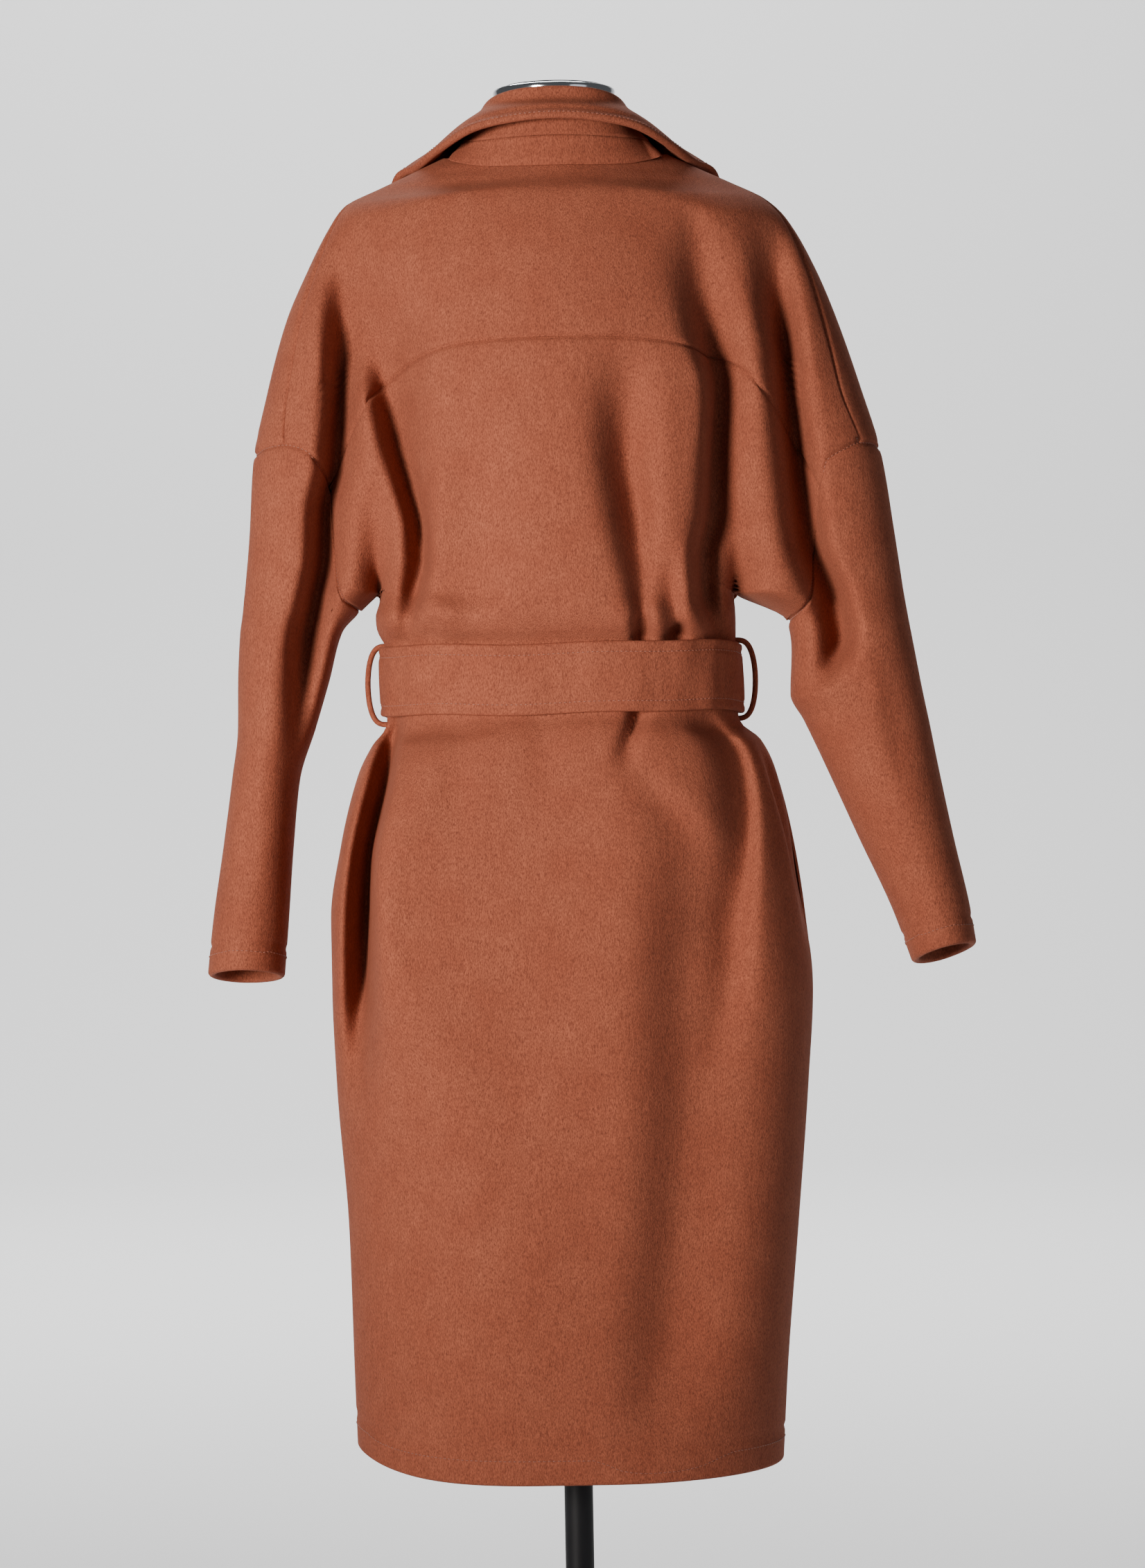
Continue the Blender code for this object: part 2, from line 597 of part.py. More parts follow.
x, z, toward = front_places("left", LEFT_FRONT_EDGE)
panel("front_left", x, z, toward, wool("front_left"), ("start",))
x, z, toward = front_places("right", -RIGHT_FRONT_EDGE)
panel("front_right", x, z, toward, wool("front_right"), ("start",), lap_lift(x, z, toward))

# The sleeves, from the low sleeve seam to the cuffs
CUFFS = {
    "left": {"outer_z": 0.754, "inner_z": 0.752},
    "right": {"outer_z": 0.769, "inner_z": 0.755},
}
ANGLE_EASE = 1.6


def sleeve_places(name):
    """Places of a sleeve: rows run round it, from the sleeve seam to the cuff."""
    side = SIDES[name]
    seam = np.array(seam_points(name, 0, SEAM_STEPS[-1]))
    last = len(seam) - 1
    ring = list(range(last + 1)) + list(range(last - 1, 0, -1))
    facing = np.array([1.0] * (last + 1) + [-1.0] * (last - 1))
    top_x, top_z = seam[ring, 0], seam[ring, 1]
    pit_z = side["armpit"][0]

    def edges(z):
        """Outer and inner edges of the arm at a height."""
        outer = np.where(z >= pit_z, UPPER_AT[name](z), side["sleeve"]["outer"](z))
        return outer, side["sleeve"]["inner"](z)

    outer, inner = edges(top_z)
    top_angle = np.arccos(np.clip(2 * (top_x - inner) / (outer - inner) - 1, -1, 1))
    cuff_angle = np.array(ring) * np.pi / last
    outer_z, inner_z = CUFFS[name]["outer_z"], CUFFS[name]["inner_z"]
    cuff_z = 0.5 * (outer_z + inner_z) + 0.5 * (outer_z - inner_z) * np.cos(cuff_angle)
    cuff_z = cuff_z + CUFF_TILT * np.sin(cuff_angle) * facing
    down = np.linspace(0, 1, SLEEVE_ROWS)[:, None]
    z = top_z + (cuff_z - top_z) * down
    angle = top_angle + (cuff_angle - top_angle) * ease(down * ANGLE_EASE)
    outer, inner = edges(z)
    x = inner + (outer - inner) * (1 + np.cos(angle)) / 2
    return x * side["sign"], z, np.broadcast_to(facing, x.shape)


for name in ("left", "right"):
    x, z, toward = sleeve_places(name)
    panel("sleeve_" + name, x, z, toward, wool("sleeve_" + name), ("top",), 0.0, True)

# The collar: a stand on the neck seam and a wide fall that rolls over it, running on as plain lapels.
# Stations from the middle of the back to the shoulder: x of the neck seam, which lies just outside the
# yoke's upper edge, and the roll and the outer edge as x, y, z.
BACK_COLLAR_COLUMNS = ("neck_x", "roll", "edge")
BACK_COLLAR = (
    (0.000, (0.000, 0.0660, 1.4800), (0.000, 0.0900, 1.4605)),
    (0.030, (0.027, 0.0620, 1.4806), (0.036, 0.0850, 1.4585)),
    (0.060, (0.046, 0.0450, 1.4808), (0.070, 0.0690, 1.4530)),
    (0.079, (0.051, 0.0200, 1.4780), (0.098, 0.0380, 1.4410)),
    (0.088, (0.053, -0.0040, 1.4730), (0.1185, 0.0000, 1.4310)),
)
NECK_LAP = 0.003
NECK_OFF = 0.0050
# Stations down a front: height on the front's edge, the roll's offset from there, and the outer edge.
FRONT_COLLAR_COLUMNS = ("neck_z", "roll_x", "roll_y", "roll_z", "edge_x", "edge_z")
FRONT_COLLAR = (
    (1.4280, -0.012, -0.006, 0.030, 0.131, 1.414),
    (1.4080, -0.009, -0.010, 0.022, 0.138, 1.384),
    (1.3840, -0.006, -0.012, 0.016, 0.137, 1.350),
    (1.3560, -0.004, -0.013, 0.010, 0.122, 1.316),
    (1.3300, -0.003, -0.013, 0.007, 0.096, 1.290),
)
COLLAR_CLEARANCE = 0.0008
STAND_OFF = 0.004
FALL_OFF = 0.011
COLLAR_FOLD = 0.004
COLLAR_BULGE = 0.002
STAND_SHARE = 0.40
# Rows of the fall below the roll and round it, as shares of the stand's height and of the roll's size
FALL_HEIGHTS = (0.75, 0.92)
ROLL_ROUND = ((0.35, 0.5), (1.0, 0.8), (1.65, 0.4))
ROLL_DROP = 0.12
FRONT_FROM_Y = -0.010


def back_collar():
    """Stations of the collar from the middle of the back to the shoulder."""
    middle_z, edge_z, _ = YOKE_ROWS[0]
    edge_x = shoulder_points("left")[0][0]
    stations = []
    for row in BACK_COLLAR:
        station = dict(zip(BACK_COLLAR_COLUMNS, row))
        neck_x = station["neck_x"]
        neck_z = middle_z + (edge_z - middle_z) * rise(neck_x / edge_x) - NECK_LAP
        place = (np.array([value]) for value in (neck_x, neck_z, 1.0, NECK_OFF))
        stations.append([sheet_points(*place)[0][0], station["roll"], station["edge"]])
    return np.array(stations)


def front_collar(name, edge):
    """Stations of the collar down one front, just outside that front's panel."""
    sign = SIDES[name]["sign"]
    front_heights = -np.array(FRONT_EDGE_Z[: len(FRONT_EDGE_SHARES)])
    stations = []
    for row in FRONT_COLLAR:
        station = dict(zip(FRONT_COLLAR_COLUMNS, row))
        share = np.interp(-station["neck_z"], front_heights, FRONT_EDGE_SHARES)
        neck_x = NECK_EDGE_X + (edge - NECK_EDGE_X) * share + COLLAR_CLEARANCE
        x = np.array([neck_x, station["edge_x"]]) * sign
        z = np.array([station["neck_z"], station["edge_z"]])
        off = lap_lift(x, z, -1) if name == "right" else np.zeros(2)
        neck, outer = sheet_points(x, z, np.array([-1.0, -1.0]), off + np.array([NECK_OFF, FALL_OFF]))[0]
        roll = np.array([station["roll_x"] * sign, station["roll_y"], station["roll_z"]])
        stations.append([neck, neck + roll, outer])
    return np.array(stations)


def collar_rows():
    """Points of the collar, from the neck seam over the roll to the outer edge, left end to right end."""
    back = back_collar()
    mirror = np.array([-1.0, 1.0, 1.0])
    left = np.concatenate([back, front_collar("left", LEFT_FRONT_EDGE)])
    right = np.concatenate([back * mirror, front_collar("right", -RIGHT_FRONT_EDGE)])
    stations = np.concatenate([left[::-1], right[1:]])
    neck, roll, edge = stations[:, 0], stations[:, 1], stations[:, 2]
    height = np.linalg.norm(roll - neck, axis=1, keepdims=True)
    up = (roll - neck) / height
    out = (edge - roll) - up * np.sum((edge - roll) * up, axis=1, keepdims=True)
    out /= np.linalg.norm(out, axis=1, keepdims=True)
    seam = neck + up * height * STAND_SHARE
    shoulder = roll + out * 2 * COLLAR_FOLD - up * ROLL_DROP * height
    stand = [neck, neck + up * height * STAND_SHARE * 0.5, seam]
    fall = [neck + up * height * share for share in FALL_HEIGHTS]
    fall += [roll + out * COLLAR_FOLD * over + up * COLLAR_FOLD * above for over, above in ROLL_ROUND]
    fall += [shoulder, shoulder + (edge - shoulder) * 0.5 + out * COLLAR_BULGE, edge]
    return np.array(stand), np.array(fall)


def grid_normals(grid):
    """Unit normals of a grid of points, from its slopes along rows and columns."""
    down, along = np.gradient(grid, axis=0), np.gradient(grid, axis=1)
    normal = np.cross(down, along)
    return normal / np.linalg.norm(normal, axis=-1, keepdims=True)


def clear_of_fronts(grid, distance):
    """Moves the points of a grid that hang before the fronts at least that far out from them."""
    x, y, z = grid[..., 0], grid[..., 1], grid[..., 2]
    lap = np.where(x < 0, lap_lift(x, z, -1), 0.0)
    most = sheet_y("front", x, z) - lap - distance
    before = y < FRONT_FROM_Y
    grid[..., 1] = np.where(before, np.minimum(y, most), y)
    return grid


stand, fall = collar_rows()
stand, fall = clear_of_fronts(stand, STAND_OFF), clear_of_fronts(fall, FALL_OFF)
whole_collar = np.concatenate([stand, fall])
collar_normal = grid_normals(whole_collar)
if collar_normal[0, whole_collar.shape[1] // 2, 1] > 0:
    collar_normal = -collar_normal
inside = whole_collar - collar_normal * CLOTH
rows_of_stand = len(stand)
wall(
    "collar_stand",
    trim_seams(whole_collar[:rows_of_stand], ("top", "end")),
    trim_seams(inside[:rows_of_stand], ("top", "end")),
    wool("collar_stand"),
)
wall(
    "collar",
    trim_seams(whole_collar[rows_of_stand - 1 :], ("top",)),
    trim_seams(inside[rows_of_stand - 1 :], ("top",)),
    wool("collar"),
)

# The belt, a plain band round the waist
BELT_COLUMNS = 44
BELT_ROWS = 3
angle = np.linspace(0, 2 * np.pi, BELT_COLUMNS, endpoint=False)
belt_heights = np.linspace(BELT_TOP_Z, BELT_BOTTOM_Z, BELT_ROWS)[:, None]
z = np.broadcast_to(belt_heights, (BELT_ROWS, BELT_COLUMNS))


def belt_ring(lift):
    """Points of a smooth band round the waist, that far outside the coat's outline without its folds."""
    half_width = np.where(np.cos(angle) >= 0, TRUNK_AT["left"](z), TRUNK_AT["right"](z))
    x = half_width * np.cos(angle)
    toward = np.where(np.sin(angle) >= 0, 1.0, -1.0)
    depth = np.where(toward > 0, TRUNK_AT["back"](z), TRUNK_AT["front"](z))
    distance = half_width - np.abs(x)
    y = toward * depth * turn(distance, TRUNK_AT["turn"](z))
    lap = np.where(toward < 0, WRAP_LIFT * ease((BELT_LAP_REACH - np.abs(x)) / LAP_EASE), 0.0)
    points = np.stack([x, y, z], axis=-1)
    along = np.roll(points, -1, axis=1) - np.roll(points, 1, axis=1)
    out = np.stack([along[..., 1], -along[..., 0], np.zeros_like(x)], axis=-1)
    out /= np.linalg.norm(out, axis=-1, keepdims=True)
    return points + out * (lap + lift)[..., None]


wall("belt", belt_ring(BELT_CLEARANCE + BELT_THICKNESS), belt_ring(BELT_CLEARANCE), wool("belt"), True)


def strap(name, middle, across, width, thickness, finish):
    """A flat strap along a path of middle points; across is its width's direction."""
    middle = np.asarray(middle, float)
    along = np.gradient(middle, axis=0)
    along /= np.linalg.norm(along, axis=1, keepdims=True)
    across = np.broadcast_to(np.asarray(across, float), middle.shape)
    out = np.cross(along, across)
    out /= np.linalg.norm(out, axis=1, keepdims=True)
    shares = np.array([-0.5, 0.0, 0.5])[None, :, None]
    sheet = middle[:, None, :] + across[:, None, :] * shares * width
    half = out[:, None, :] * thickness / 2
    return wall(name, sheet + half, sheet - half, finish)


# The two belt loops at the side seams, standing off the belt
LOOP_WIDTH = 0.009
LOOP_THICKNESS = 0.0028
LOOP_REACH = 0.0155
LOOP_STAND_OFF = 0.0022
LOOP_TOP_Z = 1.0280
LOOP_BOTTOM_Z = 0.9625
LOOP_STEPS = 11
LOOP_SQUARENESS = 0.45
for name, side in SIDES.items():
    turn_by = np.linspace(0, np.pi, LOOP_STEPS)
    half_height = 0.5 * (LOOP_TOP_Z - LOOP_BOTTOM_Z)
    loop_z = LOOP_BOTTOM_Z + half_height + half_height * np.cos(turn_by)
    coat_x = np.maximum(TRUNK_AT[name](LOOP_TOP_Z), TRUNK_AT[name](LOOP_BOTTOM_Z)) + LOOP_STAND_OFF
    loop_x = coat_x + LOOP_REACH * np.sin(turn_by) ** LOOP_SQUARENESS
    path = np.stack([side["sign"] * loop_x, np.zeros(LOOP_STEPS), loop_z], axis=1)
    strap("belt_loop_" + name, path, (0, 1, 0), LOOP_WIDTH, LOOP_THICKNESS, wool("belt_loop_" + name))

# The belt's knot and its two hanging ends, at the middle of the front
KNOT_SIZE = (0.062, 0.020, 0.050)
KNOT_OFF = 0.001
KNOT_RINGS = 9
KNOT_COLUMNS = 20
KNOT_REACH = 0.98
KNOT_SQUARENESS = 0.7
TAIL_STEPS = 12
TAIL_X = 0.030
TAIL_SPREAD = 0.012
TAIL_OFF_COAT = 0.006
TAIL_OFF_BELT = 0.0045
TAIL_WIDTH = 0.054
TAIL_THICKNESS = 0.004
TAIL_TOP_Z = 0.970
TAIL_BOTTOM_Z = {"left": 0.585, "right": 0.545}
KNOT_Z = 0.5 * (BELT_BOTTOM_Z + BELT_TOP_Z)
belt_face = -(float(TRUNK_AT["front"](KNOT_Z)) + WRAP_LIFT + BELT_CLEARANCE + BELT_THICKNESS)


def lathe_faces(rings, columns):
    """Faces of stacked rings of points, with a point number at each end after the rings."""
    faces = []
    for i in range(rings - 1):
        for j in range(columns):
            k = (j + 1) % columns
            low, high = i * columns, (i + 1) * columns
            faces.append((low + j, low + k, high + k, high + j))
    low, high = rings * columns, rings * columns + 1
    last = (rings - 1) * columns
    for j in range(columns):
        k = (j + 1) % columns
        faces.append((low, k, j))
        faces.append((high, last + j, last + k))
    return faces


def stacked(name, rings, finish):
    """A closed solid through stacked level rings, an array of rings by points by xyz."""
    rings = np.asarray(rings, float)
    count, columns = rings.shape[:2]
    ends = np.stack([rings[0].mean(axis=0), rings[-1].mean(axis=0)])
    points = np.concatenate([rings.reshape(-1, 3), ends])
    return face_out(add_object(name, points, lathe_faces(count, columns), finish))


round_by = np.linspace(0, 2 * np.pi, KNOT_COLUMNS, endpoint=False)
corner_x = np.sign(np.cos(round_by)) * np.abs(np.cos(round_by)) ** KNOT_SQUARENESS
corner_y = np.sign(np.sin(round_by)) * np.abs(np.sin(round_by)) ** KNOT_SQUARENESS
rings = []
for lift in np.linspace(-KNOT_REACH, KNOT_REACH, KNOT_RINGS):
    size = (1 - abs(lift) ** 3) ** (1 / 3)
    ring_x = 0.5 * KNOT_SIZE[0] * size * corner_x
    ring_y = belt_face - KNOT_OFF - 0.5 * KNOT_SIZE[1] + 0.5 * KNOT_SIZE[1] * size * corner_y
    ring_z = np.full(KNOT_COLUMNS, KNOT_Z + 0.5 * KNOT_SIZE[2] * lift)
    rings.append(np.stack([ring_x, ring_y, ring_z], axis=-1))
stacked("belt_knot", rings, wool("belt_knot"))

for name, side in SIDES.items():
    tail_z = np.linspace(TAIL_TOP_Z, TAIL_BOTTOM_Z[name], TAIL_STEPS)
    down = (TAIL_TOP_Z - tail_z) / (TAIL_TOP_Z - TAIL_BOTTOM_Z[name])
    tail_x = side["sign"] * (TAIL_X + TAIL_SPREAD * down)
    off_coat = sheet_y("front", 0.0 * tail_z, tail_z) - WRAP_LIFT - TAIL_OFF_COAT
    hang = np.minimum(off_coat, belt_face - TAIL_OFF_BELT)
    path = np.stack([tail_x, hang, tail_z], axis=1)
    strap("belt_tail_" + name, path, (1, 0, 0), TAIL_WIDTH, TAIL_THICKNESS, wool("belt_tail_" + name))

# The dress form inside the coat: a closed linen trunk with a neck, in level rings
FORM_COLUMNS = ("z", "half_width", "back", "front")
FORM = (
    (0.700, 0.120, 0.085, 0.085),
    (0.706, 0.140, 0.098, 0.098),
    (0.800, 0.150, 0.108, 0.106),
    (0.900, 0.135, 0.096, 0.098),
    (1.000, 0.114, 0.082, 0.086),
    (1.100, 0.120, 0.090, 0.097),
    (1.200, 0.130, 0.098, 0.108),
    (1.280, 0.134, 0.096, 0.102),
    (1.330, 0.128, 0.086, 0.088),
    (1.365, 0.110, 0.072, 0.072),
    (1.388, 0.084, 0.060, 0.060),
    (1.405, 0.062, 0.052, 0.052),
    (1.425, 0.051, 0.047, 0.047),
    (1.455, 0.046, 0.044, 0.044),
    (1.4836, 0.046, 0.045, 0.045),
)
FORM_STEPS = 32
round_by = np.linspace(0, 2 * np.pi, FORM_STEPS, endpoint=False)
rings = []
for row in FORM:
    level = dict(zip(FORM_COLUMNS, row))
    ring_x = level["half_width"] * np.cos(round_by)
    ring_y = np.where(np.sin(round_by) >= 0, level["back"], level["front"]) * np.sin(round_by)
    rings.append(np.stack([ring_x, ring_y, np.full(FORM_STEPS, level["z"])], axis=-1))
stacked("form_torso", rings, material("form_linen", LINEN, 0.85, 0.0))


def turned(name, profile, columns, finish):
    """A solid turned about the upright axis, from rows of radius and height."""
    round_by = np.linspace(0, 2 * np.pi, columns, endpoint=False)
    rings = []
    for radius, height in profile:
        ring_x, ring_y = radius * np.cos(round_by), radius * np.sin(round_by)
        rings.append(np.stack([ring_x, ring_y, np.full(columns, height)], axis=-1))
    return stacked(name, rings, finish)


# The chrome neck cap, the pole and the round base plate
CAP_PROFILE = (
    (0.0470, 1.4840), (0.0500, 1.4848), (0.0512, 1.4875), (0.0512, 1.4895),
    (0.0500, 1.4922), (0.0470, 1.4932), (0.0440, 1.4928),
)
POLE_RADIUS = 0.012
BASE_RADIUS = 0.165
BASE_THICKNESS = 0.012
BASE_BEVEL = 0.003
CAP_STEPS, POLE_STEPS, BASE_STEPS = 28, 24, 40
turned("neck_cap", CAP_PROFILE, CAP_STEPS, material("cap_chrome", CHROME, 0.12, 1.0))
turned(
    "pole",
    ((POLE_RADIUS, BASE_THICKNESS + SEAM_GAP), (POLE_RADIUS, FORM[0][0] - SEAM_GAP)),
    POLE_STEPS,
    material("pole_paint", BLACK_PAINT, 0.4, 0.0),
)
turned(
    "base_plate",
    (
        (BASE_RADIUS, 0.0),
        (BASE_RADIUS, BASE_THICKNESS - BASE_BEVEL),
        (BASE_RADIUS - BASE_BEVEL, BASE_THICKNESS),
    ),
    BASE_STEPS,
    material("base_paint", BLACK_PAINT, 0.4, 0.0),
)
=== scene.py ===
"""A long belted wool coat with low batwing sleeves on a limbless dress form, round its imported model.

Metres, +Z up. The coat's front faces -Y and the wearer's left is +X.
"""

import bmesh
import bpy
import numpy as np
from mathutils import Matrix, Vector


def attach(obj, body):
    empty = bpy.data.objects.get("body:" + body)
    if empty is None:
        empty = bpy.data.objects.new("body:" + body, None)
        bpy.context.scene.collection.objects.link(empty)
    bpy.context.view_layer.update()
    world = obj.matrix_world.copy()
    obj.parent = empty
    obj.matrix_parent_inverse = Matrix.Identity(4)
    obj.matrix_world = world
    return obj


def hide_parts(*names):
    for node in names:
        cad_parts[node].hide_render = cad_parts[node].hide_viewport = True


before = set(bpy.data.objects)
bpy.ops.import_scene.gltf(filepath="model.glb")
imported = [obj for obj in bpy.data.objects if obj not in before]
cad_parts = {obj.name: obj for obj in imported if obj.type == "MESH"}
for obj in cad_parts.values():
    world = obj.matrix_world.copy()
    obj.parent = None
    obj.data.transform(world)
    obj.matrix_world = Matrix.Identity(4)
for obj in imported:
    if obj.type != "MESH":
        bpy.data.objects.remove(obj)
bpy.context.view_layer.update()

# The stand: a round steel base plate with a rolled edge, a turned ferrule screwed down on it and a plain
# steel pole that runs up into the dress form. All of it is powder coated in satin black.
BASE_RADIUS = 0.165
BASE_THICKNESS = 0.012
POLE_RADIUS = 0.012
POLE_TOP = 0.6997
SATIN_BLACK = "#0C0C0E"
WORN_BLACK = "#17171A"


def linear(hex_colour):
    """An sRGB hex colour as linear RGBA: each channel goes through the sRGB curve."""
    srgb = np.array([int(hex_colour[i : i + 2], 16) for i in (1, 3, 5)]) / 255
    bent = np.where(srgb <= 0.04045, srgb / 12.92, ((srgb + 0.055) / 1.055) ** 2.4)
    return (*bent.tolist(), 1.0)


def node(tree, kind, settings=(), inputs=(), links=()):
    """Adds a shader node with its settings, its inputs' values, and its links as input: (node, output)."""
    made = tree.nodes.new(kind)
    for name, value in dict(settings).items():
        setattr(made, name, value)
    for name, value in dict(inputs).items():
        made.inputs[name].default_value = value
    for name, (other, output) in dict(links).items():
        tree.links.new(other.outputs[output], made.inputs[name])
    return made


def new_finish(name, **values):
    """A material with its Principled shader's own values set, its node tree and that shader."""
    made = bpy.data.materials.new(name)
    made.use_nodes = True
    shader = made.node_tree.nodes["Principled BSDF"]
    for socket, value in values.items():
        shader.inputs[socket.replace("_", " ")].default_value = value
    return made, made.node_tree, shader


def noise(tree, place, size, **inputs):
    """A noise pattern in the coordinates of a node's output, with features of about that size in metres."""
    return node(tree, "ShaderNodeTexNoise", {}, {"Scale": 1 / size, **inputs}, {"Vector": place})


def colour_between(tree, low, high, share):
    """A mix of two hex colours, by the share that a node's output gives."""
    return node(tree, "ShaderNodeMix", {"data_type": "RGBA"}, {6: linear(low), 7: linear(high)}, {0: share})


def finish_surface(tree, shader, tint, height, strength, distance):
    """Links a mix's colour into the shader, and a height in metres into its normal as a bump."""
    bump = node(tree, "ShaderNodeBump", {}, {"Strength": strength, "Distance": distance}, {"Height": height})
    tree.links.new(tint.outputs[2], shader.inputs["Base Color"])
    tree.links.new(bump.outputs["Normal"], shader.inputs["Normal"])


def grid_faces(rows, columns, closed):
    """Corner numbers of each square of a grid of points, closed round from the last column if asked."""
    i = np.arange(rows - 1)[:, None]
    j = np.arange(columns if closed else columns - 1)[None, :]
    k = (j + 1) % columns
    corners = (i * columns + j, (i + 1) * columns + j, (i + 1) * columns + k, i * columns + k)
    return np.stack(np.broadcast_arrays(*corners), axis=-1).reshape(-1, 4)


def add_piece(name, points, faces, material):
    """A smooth mesh piece at its own place, riding on the one body and finished by the given material."""
    mesh = bpy.data.meshes.new(name)
    mesh.from_pydata(points.reshape(-1, 3).tolist(), [], faces if isinstance(faces, list) else faces.tolist())
    mesh.materials.append(material)
    mesh.shade_smooth()
    made = bpy.data.objects.new(name, mesh)
    bpy.context.scene.collection.objects.link(made)
    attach(made, "root")
    return made


def close_up(made, crease_degrees):
    """Merges the points that meet at poles and seams, turns the faces outwards and marks the sharp edges."""
    work = bmesh.new()
    work.from_mesh(made.data)
    bmesh.ops.remove_doubles(work, verts=work.verts, dist=1e-6)
    bmesh.ops.recalc_face_normals(work, faces=work.faces)
    work.to_mesh(made.data)
    work.free()
    made.data.set_sharp_from_angle(angle=np.radians(crease_degrees))
    return made


def turned(name, profile, columns, material):
    """A solid of revolution: each radius and height of the profile is carried round the upright axis."""
    radius, height = np.array(profile).T[:, :, None]
    angle = np.linspace(0, 2 * np.pi, columns, endpoint=False)
    points = np.stack(np.broadcast_arrays(radius * np.cos(angle), radius * np.sin(angle), height), axis=-1)
    return close_up(add_piece(name, points, grid_faces(len(profile), columns, True), material), 50)


def rounded_corner(radius, height, size, first, last, steps=7):
    """Profile points of a quarter round of that size about a centre, from one angle to another in degrees."""
    angle = np.radians(np.linspace(first, last, steps))
    return list(zip(radius + size * np.cos(angle), height + size * np.sin(angle)))


# Powder-coated steel: a thin even skin with a faint orange-peel, a little lighter where it is rubbed.
ORANGE_PEEL = 0.0016
RUBBED_PATCH = 0.035
black_paint, tree, shader = new_finish(
    "powder_coated_steel_satin_black", Roughness=0.55, Specular_IOR_Level=0.25
)
place = node(tree, "ShaderNodeTexCoord")
rubbed = noise(tree, (place, "Object"), RUBBED_PATCH, Detail=4.0)
peel = noise(tree, (place, "Object"), ORANGE_PEEL, Detail=1.0)
tint = colour_between(tree, SATIN_BLACK, WORN_BLACK, (rubbed, "Fac"))
finish_surface(tree, shader, tint, (peel, "Fac"), 0.25, 0.0002)

FOOT_ROUND = 0.002
EDGE_ROUND = 0.004
PLATE_RING = 0.060
base_profile = [(0.0, 0.0), (BASE_RADIUS - 1.5 * FOOT_ROUND, 0.0)]
base_profile += rounded_corner(BASE_RADIUS - FOOT_ROUND, FOOT_ROUND, FOOT_ROUND, -90, 0, 4)
base_profile += rounded_corner(BASE_RADIUS - EDGE_ROUND, BASE_THICKNESS - EDGE_ROUND, EDGE_ROUND, 0, 90)
base_profile += [(PLATE_RING, BASE_THICKNESS), (0.0, BASE_THICKNESS)]
base_plate = turned("stand_base_plate", base_profile, 128, black_paint)
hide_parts("base_plate")

FERRULE_RADIUS = 0.024
FERRULE_HEIGHT = 0.030
FERRULE_RIM = 0.003
FLANGE_RADIUS = 0.034
FLANGE_ROUND = 0.002
FLANGE_ROUND_UP = 0.003
HOLLOW_ROUND = 0.004
HOLLOW_UP = 0.009
SEAT = BASE_THICKNESS + 0.0003
BORE = POLE_RADIUS + 0.0002
ferrule_profile = [(BORE, SEAT), (FLANGE_RADIUS, SEAT)]
ferrule_profile += rounded_corner(
    FLANGE_RADIUS - FLANGE_ROUND, BASE_THICKNESS + FLANGE_ROUND_UP, FLANGE_ROUND, 0, 90, 5
)
ferrule_profile += rounded_corner(
    FERRULE_RADIUS + HOLLOW_ROUND, BASE_THICKNESS + HOLLOW_UP, HOLLOW_ROUND, 270, 180, 6
)
ferrule_profile += rounded_corner(
    FERRULE_RADIUS - FERRULE_RIM, BASE_THICKNESS + FERRULE_HEIGHT, FERRULE_RIM, 0, 90, 5
)
ferrule_profile += [(BORE, BASE_THICKNESS + FERRULE_HEIGHT + 0.002), (BORE, SEAT)]
turned("stand_ferrule", ferrule_profile, 96, black_paint)

POLE_ROUND = 0.001
pole_profile = [(0.0, SEAT), (POLE_RADIUS, SEAT)]
pole_profile += [(POLE_RADIUS, height) for height in np.linspace(0.05, POLE_TOP - POLE_ROUND, 8)]
pole_profile += rounded_corner(POLE_RADIUS - POLE_ROUND, POLE_TOP - POLE_ROUND, POLE_ROUND, 0, 90, 4)
pole_profile += [(0.0, POLE_TOP)]
pole = turned("stand_pole", pole_profile, 64, black_paint)
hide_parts("pole")

# The dress form: a limbless trunk with a short neck, padded board under a tight cover of cream linen, sewn
# in panels with a seam down the middle of the back and front and one down each side.
FORM_ROWS = (
    ("z", "half_width", "back", "front"),
    (0.700, 0.120, 0.085, 0.085),
    (0.706, 0.140, 0.098, 0.098),
    (0.800, 0.150, 0.108, 0.106),
    (0.900, 0.135, 0.096, 0.098),
    (1.000, 0.114, 0.082, 0.086),
    (1.100, 0.120, 0.090, 0.097),
    (1.200, 0.130, 0.098, 0.108),
    (1.280, 0.134, 0.096, 0.102),
    (1.330, 0.128, 0.086, 0.088),
    (1.365, 0.110, 0.072, 0.072),
    (1.388, 0.084, 0.060, 0.060),
    (1.405, 0.062, 0.052, 0.052),
    (1.425, 0.051, 0.047, 0.047),
    (1.455, 0.046, 0.044, 0.044),
    (1.4836, 0.046, 0.045, 0.045),
)
FORM_SEAM_DEPTH = 0.0012
FORM_SEAM_WIDTH = 0.0025
LINEN_CREAM = "#D9CDB4"
LINEN_SHADE = "#B9AB8E"
LINEN_THREAD = 0.0009
LINEN_SLUB = 1 / 260
FORM_GRID = (120, 120)
FORM_CROWDING = 1.15


